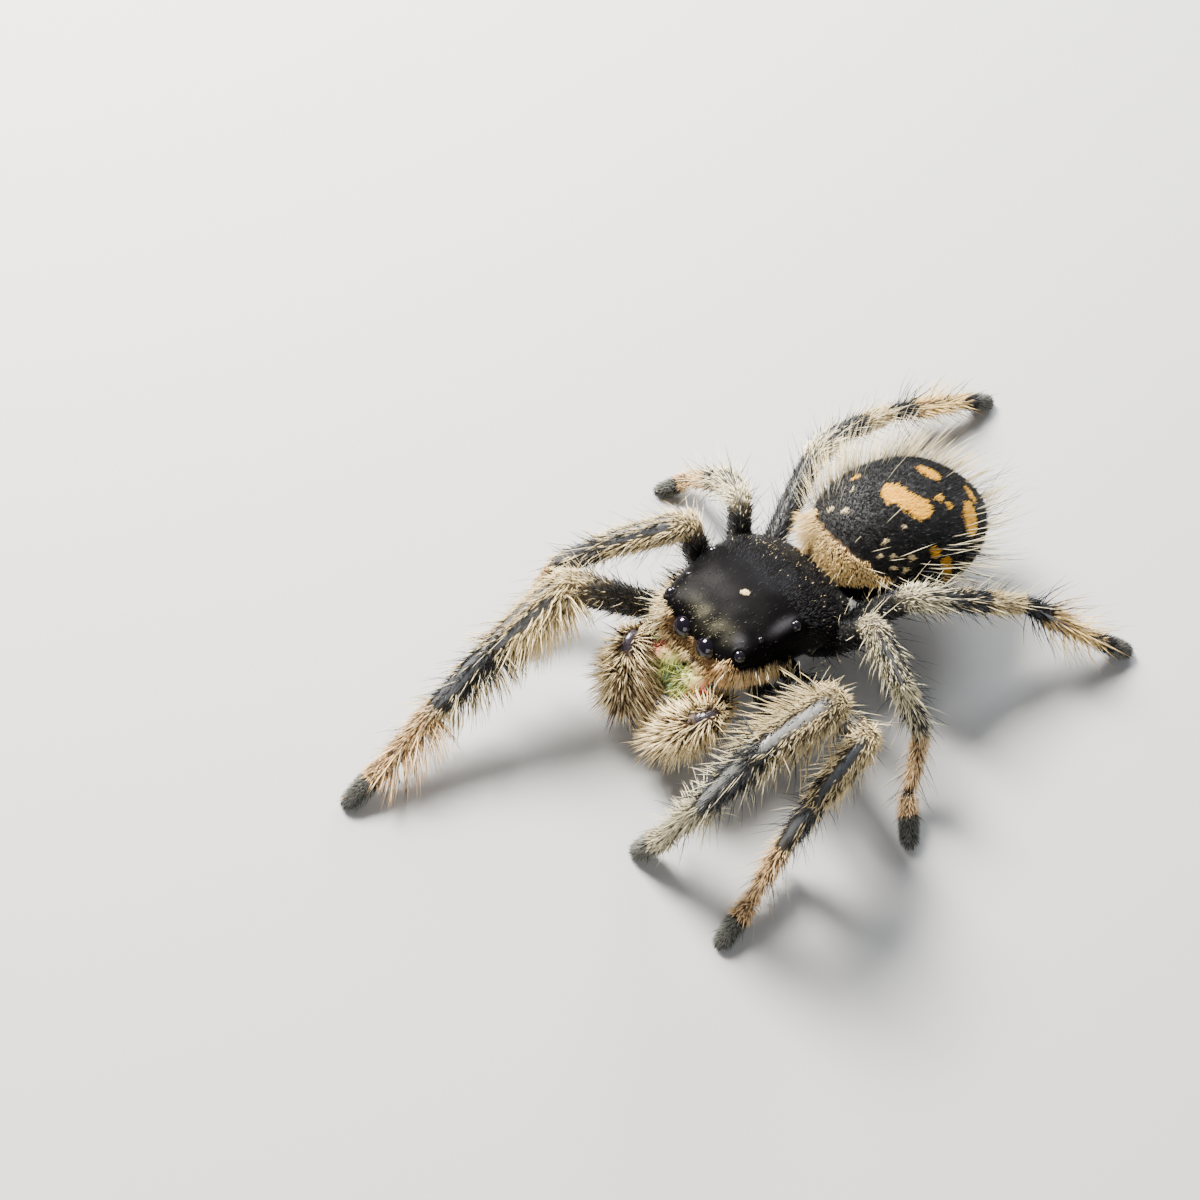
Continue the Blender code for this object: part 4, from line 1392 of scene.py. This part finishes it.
def coat_abdomen_long():
    """Long pale hair that stands out round the sides and rear, some of it in spiky bunches."""
    coat = Coat("hair_abdomen_long")
    h = Places(*ABDOMEN_COAT.scatter(70))
    along, across = abdomen_own(h.p)
    rise = h.n[:, 2]
    side = np.clip((0.80 - rise) / 0.8, 0, 1)
    h.rear = np.clip((along - 1.0) / 3.2, 0, 1)
    h.right = np.clip((-0.6 - across) / 1.2, 0, 1)
    chance = 0.012 + side * (0.24 + 0.56 * h.rear + 0.06 * h.right)
    chance += 0.30 * h.right * np.clip((0.93 - rise) / 0.25, 0, 1) * (along < 4.6)
    chance = np.where(rise < -0.35, 0.20, chance * np.where(across > 0.8, 0.6, 1.0))
    clumps = 0.5 + 0.75 * waves(h.p, 5.5, 17)
    h = h.only((h.chance() < chance * (0.25 + 1.0 * clumps)) & (along > 0.6))
    _, tints = pick(0.80, WHITE * 0.8 + TAN * 0.15, GREY * 0.5, len(h))
    ahead = h.right * (1 - h.rear)
    lengths = (0.80 + 1.15 * h.rear + 0.55 * ahead) * h.lengths(0.45, 1.2)
    lengths = np.where(h.n[:, 2] < -0.3, np.minimum(lengths, 0.6), lengths)
    lie = unit(tilted(h, 56, 0.15) + np.array((0, 0, 0.5)) * ahead[:, None])
    coat.add(h, lie, lengths, 0.025, tints * 0.35, tints * 1.1, bend=0.22, droop=h.t, rings=LONG)
    # Bunches of hairs stuck together.
    h = Places(*ABDOMEN_COAT.scatter(2.6))
    along, across = abdomen_own(h.p)
    keep = (h.n[:, 2] < 0.72) & (h.n[:, 2] > -0.2) & (along > 1.2)
    h = h.only(keep & ((across < 0) | ((along > 4.2) & (across < 1.0))))
    middle = h.p
    for _ in range(7):
        h.p = middle + h.noise(0.045)
        lie = tilted(h, 62, 0.05)
        tints = vary(CREAM * 0.85, len(h), 0.1)
        coat.add(h, lie, h.lengths(0.95, 1.5), 0.028, tints * 0.4, tints * 1.15, bend=0.10,
                 droop=h.t, rings=LONG)
    coat.finish("abdomen")


def from_eyes(points, pair):
    """Distance from the nearer eye of a pair, in its radii, and the direction from that eye."""
    least, outward = np.full(len(points), 99.0), np.zeros(points.shape)
    for side in "rl":
        centre, radius = EYES[f"eye_{pair}_{side}"]
        gap = np.linalg.norm(points - centre, axis=1) / radius
        outward = np.where((gap < least)[:, None], unit(points - centre), outward)
        least = np.minimum(least, gap)
    return least, outward


def coat_head():
    """Tan hair round the front eyes, buff cheeks and face, and scattered pale scales."""
    coat = Coat("hair_head")
    h = Places(*CARAPACE.scatter(430))
    h.x, y, z = h.p.T
    x = h.x
    h.p = sockets(h.p + h.n * shell_shape(h.p, h.n)[:, None])
    h.main, h.outward = from_eyes(h.p, "front_middle")
    h.beside, _ = from_eyes(h.p, "front_side")
    others = (from_eyes(h.p, pair)[0] for pair in ("small", "rear"))
    clear = np.minimum.reduce((h.main, h.beside, *others)) > 1.10
    h.level = z - x * math.tan(BODY_ROLL)
    face = (h.level < 4.02) & (y < -3.3) & (h.n[:, 1] < -0.25)
    cut = ramp(y, ((-3.6, 3.98), (-3.2, 3.98), (-2.2, 3.80), (-1.5, 3.5)))
    cheek = (h.level < cut) & (y < -1.5) & (np.abs(x) > 1.2) & (h.level > 2.3)
    beside_face = (np.abs(x) > 1.2) & (y < -3.45) & (h.level < 4.35)
    ring = (h.main < 1.5) & (y < -3.2) & (h.n[:, 1] < -0.15) & (h.level < 4.10)
    brow = (y < -2.4) & ~ring & ~face & ~cheek
    # Face and cheeks: long hair that hangs forward, browner by the eyes, and painted browner on the
    # left cheek as shade.
    pale = clear & (face | cheek | beside_face) & ~ring & (h.chance() < 0.62) & (h.beside > 1.30)
    pale &= h.chance() < np.where(face, 1.0, ramp(y, ((-3.4, 0.95), (-2.4, 0.75), (-1.5, 0.15))))
    g = h.only(pale)
    far = np.clip((g.main - 1.25) / 0.8, 0, 1)
    # Painted shade: hair on the left cheek is painted browner than on the right.
    far = far * ramp(g.x, ((0.2, 1.0), (0.8, 0.50), (1.4, 0.35), (2.0, 0.60)))
    far = np.clip(far + 0.25 * waves(g.p, 5.0, 61), 0, 1)
    buff = blend_colours(TAN * 1.5, CREAM * 0.92 + TAN * 0.08, far)
    tints = buff * vary(np.ones(3), len(g), 0.20)
    lie = unit(g.n * 0.75 + np.array((0.0, -0.55, -0.70)) * 0.7 + g.noise(0.22))
    lengths = g.lengths(0.26, 0.56) * (0.7 + 0.5 * far)
    lengths = lengths * np.clip((g.beside - 0.9) / 1.3, 0.3, 1)
    coat.add(g, lie, lengths, 0.048, tints * 0.3, tints * 1.25, rings=GRAIN)
    # Tan hair round the front middle eyes, pointing away from them.
    ringed = clear & ring & (h.main > 1.18)
    g = h.only(ringed)
    tints = vary(np.array((0.66, 0.44, 0.21)), len(g), 0.30)
    level_out = unit(g.outward - g.n * np.sum(g.outward * g.n, axis=1)[:, None])
    lie = unit(level_out + g.n * 0.75 + np.array((0, -0.2, -0.35)) + g.noise(0.20))
    coat.add(g, lie, g.lengths(0.16, 0.27), 0.040, tints * 0.22, tints * 1.4, rings=SPIKE)
    # Olive and grey hair behind the front eyes.
    patch = bell(x + 0.1, 0.75) * bell(y + 3.15, 0.30)
    browed = clear & brow & (h.chance() < 0.03 + 0.60 * patch)
    g = h.only(browed)
    tints = vary(np.array((0.30, 0.28, 0.18)), len(g), 0.5)
    lie = tilted(g, 14, 0.25, -g.t)
    coat.add(g, lie, g.lengths(0.08, 0.15), 0.026, tints * 0.6, tints, rings=SPIKE)
    # Pale scales towards the rear and the lower edge, and short black hair everywhere.
    rest = clear & ~pale & ~ringed & ~browed
    edge = np.clip((3.6 - h.level) / 1.2, 0, 1) * 0.08 + 0.022 * (y > -0.2)
    edge += 0.03 * ((y > 0.1) & (x < -0.4))
    scale = rest & (h.chance() < edge)
    g = h.only(scale)
    tints = vary(CREAM * 0.75, len(g), 0.25)
    coat.add(g, tilted(g, 18, 0.3), g.lengths(0.06, 0.13), 0.040, tints, tints, rings=SPIKE)
    chance = 0.05 + 0.45 * (y > -0.9) + 0.4 * (h.level < 3.7)
    g = h.only(rest & ~scale & (h.chance() < chance))
    tints = vary(BLACK + GREY * 0.10, len(g), 0.5)
    coat.add(g, tilted(g, 22, 0.25), g.lengths(0.08, 0.20), 0.026, tints, tints * 2.0, rings=SPIKE)
    add_dot(coat)
    # Stiff bristles round the face and the cheeks.
    bristle = clear & (h.main > 1.6) & (h.chance() < np.where(x < -1.1, 0.15, 0.035))
    bristle &= cheek | (face & (np.abs(x) > 1.0)) | beside_face
    g = h.only(bristle & (h.beside > 2.4))
    _, tints = pick(0.6, WHITE, BLACK, len(g))
    lie = unit(g.n + np.array((0, -0.25, 0.5)) + g.noise(0.2))
    coat.add(g, lie, g.lengths(0.5, 1.0), 0.032, tints * 0.6, tints, bend=0.2,
             droop=np.array((0, 0, -0.5)), rings=LONG)
    coat.finish("shell")


def blend_colours(near, far, share):
    """Colours from near to far, by each hair's share."""
    return near * (1 - share)[:, None] + far * share[:, None]


def add_dot(coat):
    """The cream dot on the head's top."""
    angle, reach = (rng.random(DOT_HAIRS) for _ in range(2))
    angle, reach = angle * 2 * math.pi, DOT_RADIUS * np.sqrt(reach)
    reach = reach * (0.95 + 0.22 * np.sin(2 * angle + 0.6) + 0.10 * np.sin(5 * angle))
    x, y = np.cos(angle) * reach, np.sin(angle) * reach
    start = DOT_PLACE + np.stack((x, y, 0 * reach), -1)
    up, back = (plain(unit(np.array(d)), start) for d in ((0.09, 0.0, 1.0), (0.0, 1.0, 0.0)))
    dot = Places(0.3 + reach, 0.25 + 0.02 * np.cos(angle), start, up, back)
    lie = tilted(dot, 40, 0.3)
    tints = [vary(CREAM * tone, DOT_HAIRS, 0.1) for tone in (0.7, 1.1)]
    coat.add(dot, lie, 0.10, 0.055, *tints, rings=SPIKE)


def coat_jaws():
    """Green and rose hair over the top of the jaws and thinly down their fronts."""
    coat = Coat("hair_jaws")
    for number, sign in enumerate((-1, 1)):
        h = Places(*jaw_surface(sign).scatter(230))
        h.height = (h.p[:, 2] - 1.1) / 1.9
        h.outer = np.clip(h.n[:, 0] * sign, 0, 1)
        chance = 0.45 + 0.50 * np.clip((h.height - 0.60) / 0.3, 0, 1) - 0.25 * h.outer
        h = h.only((h.n[:, 1] < 0.3) & (h.chance() < chance))
        draw = h.chance()
        tints = plain(CREAM * 0.8, draw)
        tints[draw < 0.92] = (0.36, 0.40, 0.10)
        tints[draw < 0.18] = (0.34, 0.50, 0.28)
        tints[(h.outer > 0.22) & (draw > 0.30)] = (0.70, 0.17, 0.13)
        tints = tints * vary(np.ones(3), len(h), 0.2)
        lie = unit(h.n * 0.55 + np.array((0, -0.2, -0.85)) + h.noise(0.24))
        lengths = h.lengths(0.24, 0.50) * (1 + 0.5 * (h.height > 0.7))
        coat.add(h, lie, lengths, 0.050, tints * 0.10, tints * 1.2, (number, 2), 0.15, -h.n)
    coat.finish("jaw")


for leg in LEG_POSES:
    coat_leg(leg)
for side in "rl":
    coat_palp(side)
coat_abdomen()
coat_band()
coat_abdomen_long()
coat_head()
coat_jaws()


# The studio: pale floor, soft light and the camera.

FLOOR_HALF = 2.0
LIT_PLACE = (0, 0, 0.003)
CAMERA_PLACE = np.array((15.117, -23.292, 45.0))
CAMERA_RIGHT = Vector((0.6406, 0.7660, 0.0554))
CAMERA_UP = Vector((-0.6703, 0.5225, 0.527))
CAMERA_LENS = 45.0
CAMERA_SENSOR = 36.0


def make_floor():
    mesh = bpy.data.meshes.new("floor")
    corners = [(x * FLOOR_HALF, y * FLOOR_HALF, 0) for x, y in ((-1, -1), (1, -1), (1, 1), (-1, 1))]
    mesh.from_pydata(corners, [], [(0, 1, 2, 3)])
    made, _, _, shader = new_material("floor")
    shader.inputs["Base Color"].default_value = (0.43, 0.43, 0.43, 1)
    shader.inputs["Roughness"].default_value = 0.8
    mesh.materials.append(made)
    linked("floor", mesh)


def add_light(name, place, size, power, colour=(1, 1, 1)):
    lamp = bpy.data.lights.new(name, "AREA")
    lamp.shape = "SQUARE"
    lamp.size = size
    lamp.energy = power
    lamp.color = colour
    made = linked(name, lamp)
    made.location = place
    aim = Vector(LIT_PLACE) - Vector(place)
    made.rotation_euler = aim.to_track_quat("-Z", "Y").to_euler()


def make_studio():
    make_floor()
    world = bpy.data.worlds.new("studio")
    world.use_nodes = True
    background = world.node_tree.nodes["Background"]
    background.inputs["Color"].default_value = (0.86, 0.90, 0.96, 1)
    background.inputs["Strength"].default_value = 0.22
    bpy.context.scene.world = world
    add_light("key", (-0.095, 0.004, 0.094), 0.045, 1.25, (1.0, 0.96, 0.89))
    add_light("back", (-0.062, 0.094, 0.064), 0.05, 0.25, (0.92, 0.96, 1.0))
    add_light("fill", (0.10, -0.10, 0.08), 0.10, 0.12)


def make_camera():
    lens = bpy.data.cameras.new("camera")
    lens.lens = CAMERA_LENS
    lens.sensor_width = CAMERA_SENSOR
    lens.clip_start = 0.001
    lens.clip_end = 10.0
    made = linked("camera", lens)
    right = CAMERA_RIGHT.normalized()
    back = right.cross(CAMERA_UP).normalized()
    place = (CAMERA_PLACE + SHIFT * np.array((1, 1, 0))) * MM
    matrix = made.matrix_world.copy()
    for column, values in enumerate((right, back.cross(right), back, place)):
        for row in range(3):
            matrix[row][column] = values[row]
    made.matrix_world = matrix
    bpy.context.scene.camera = made


make_studio()
make_camera()
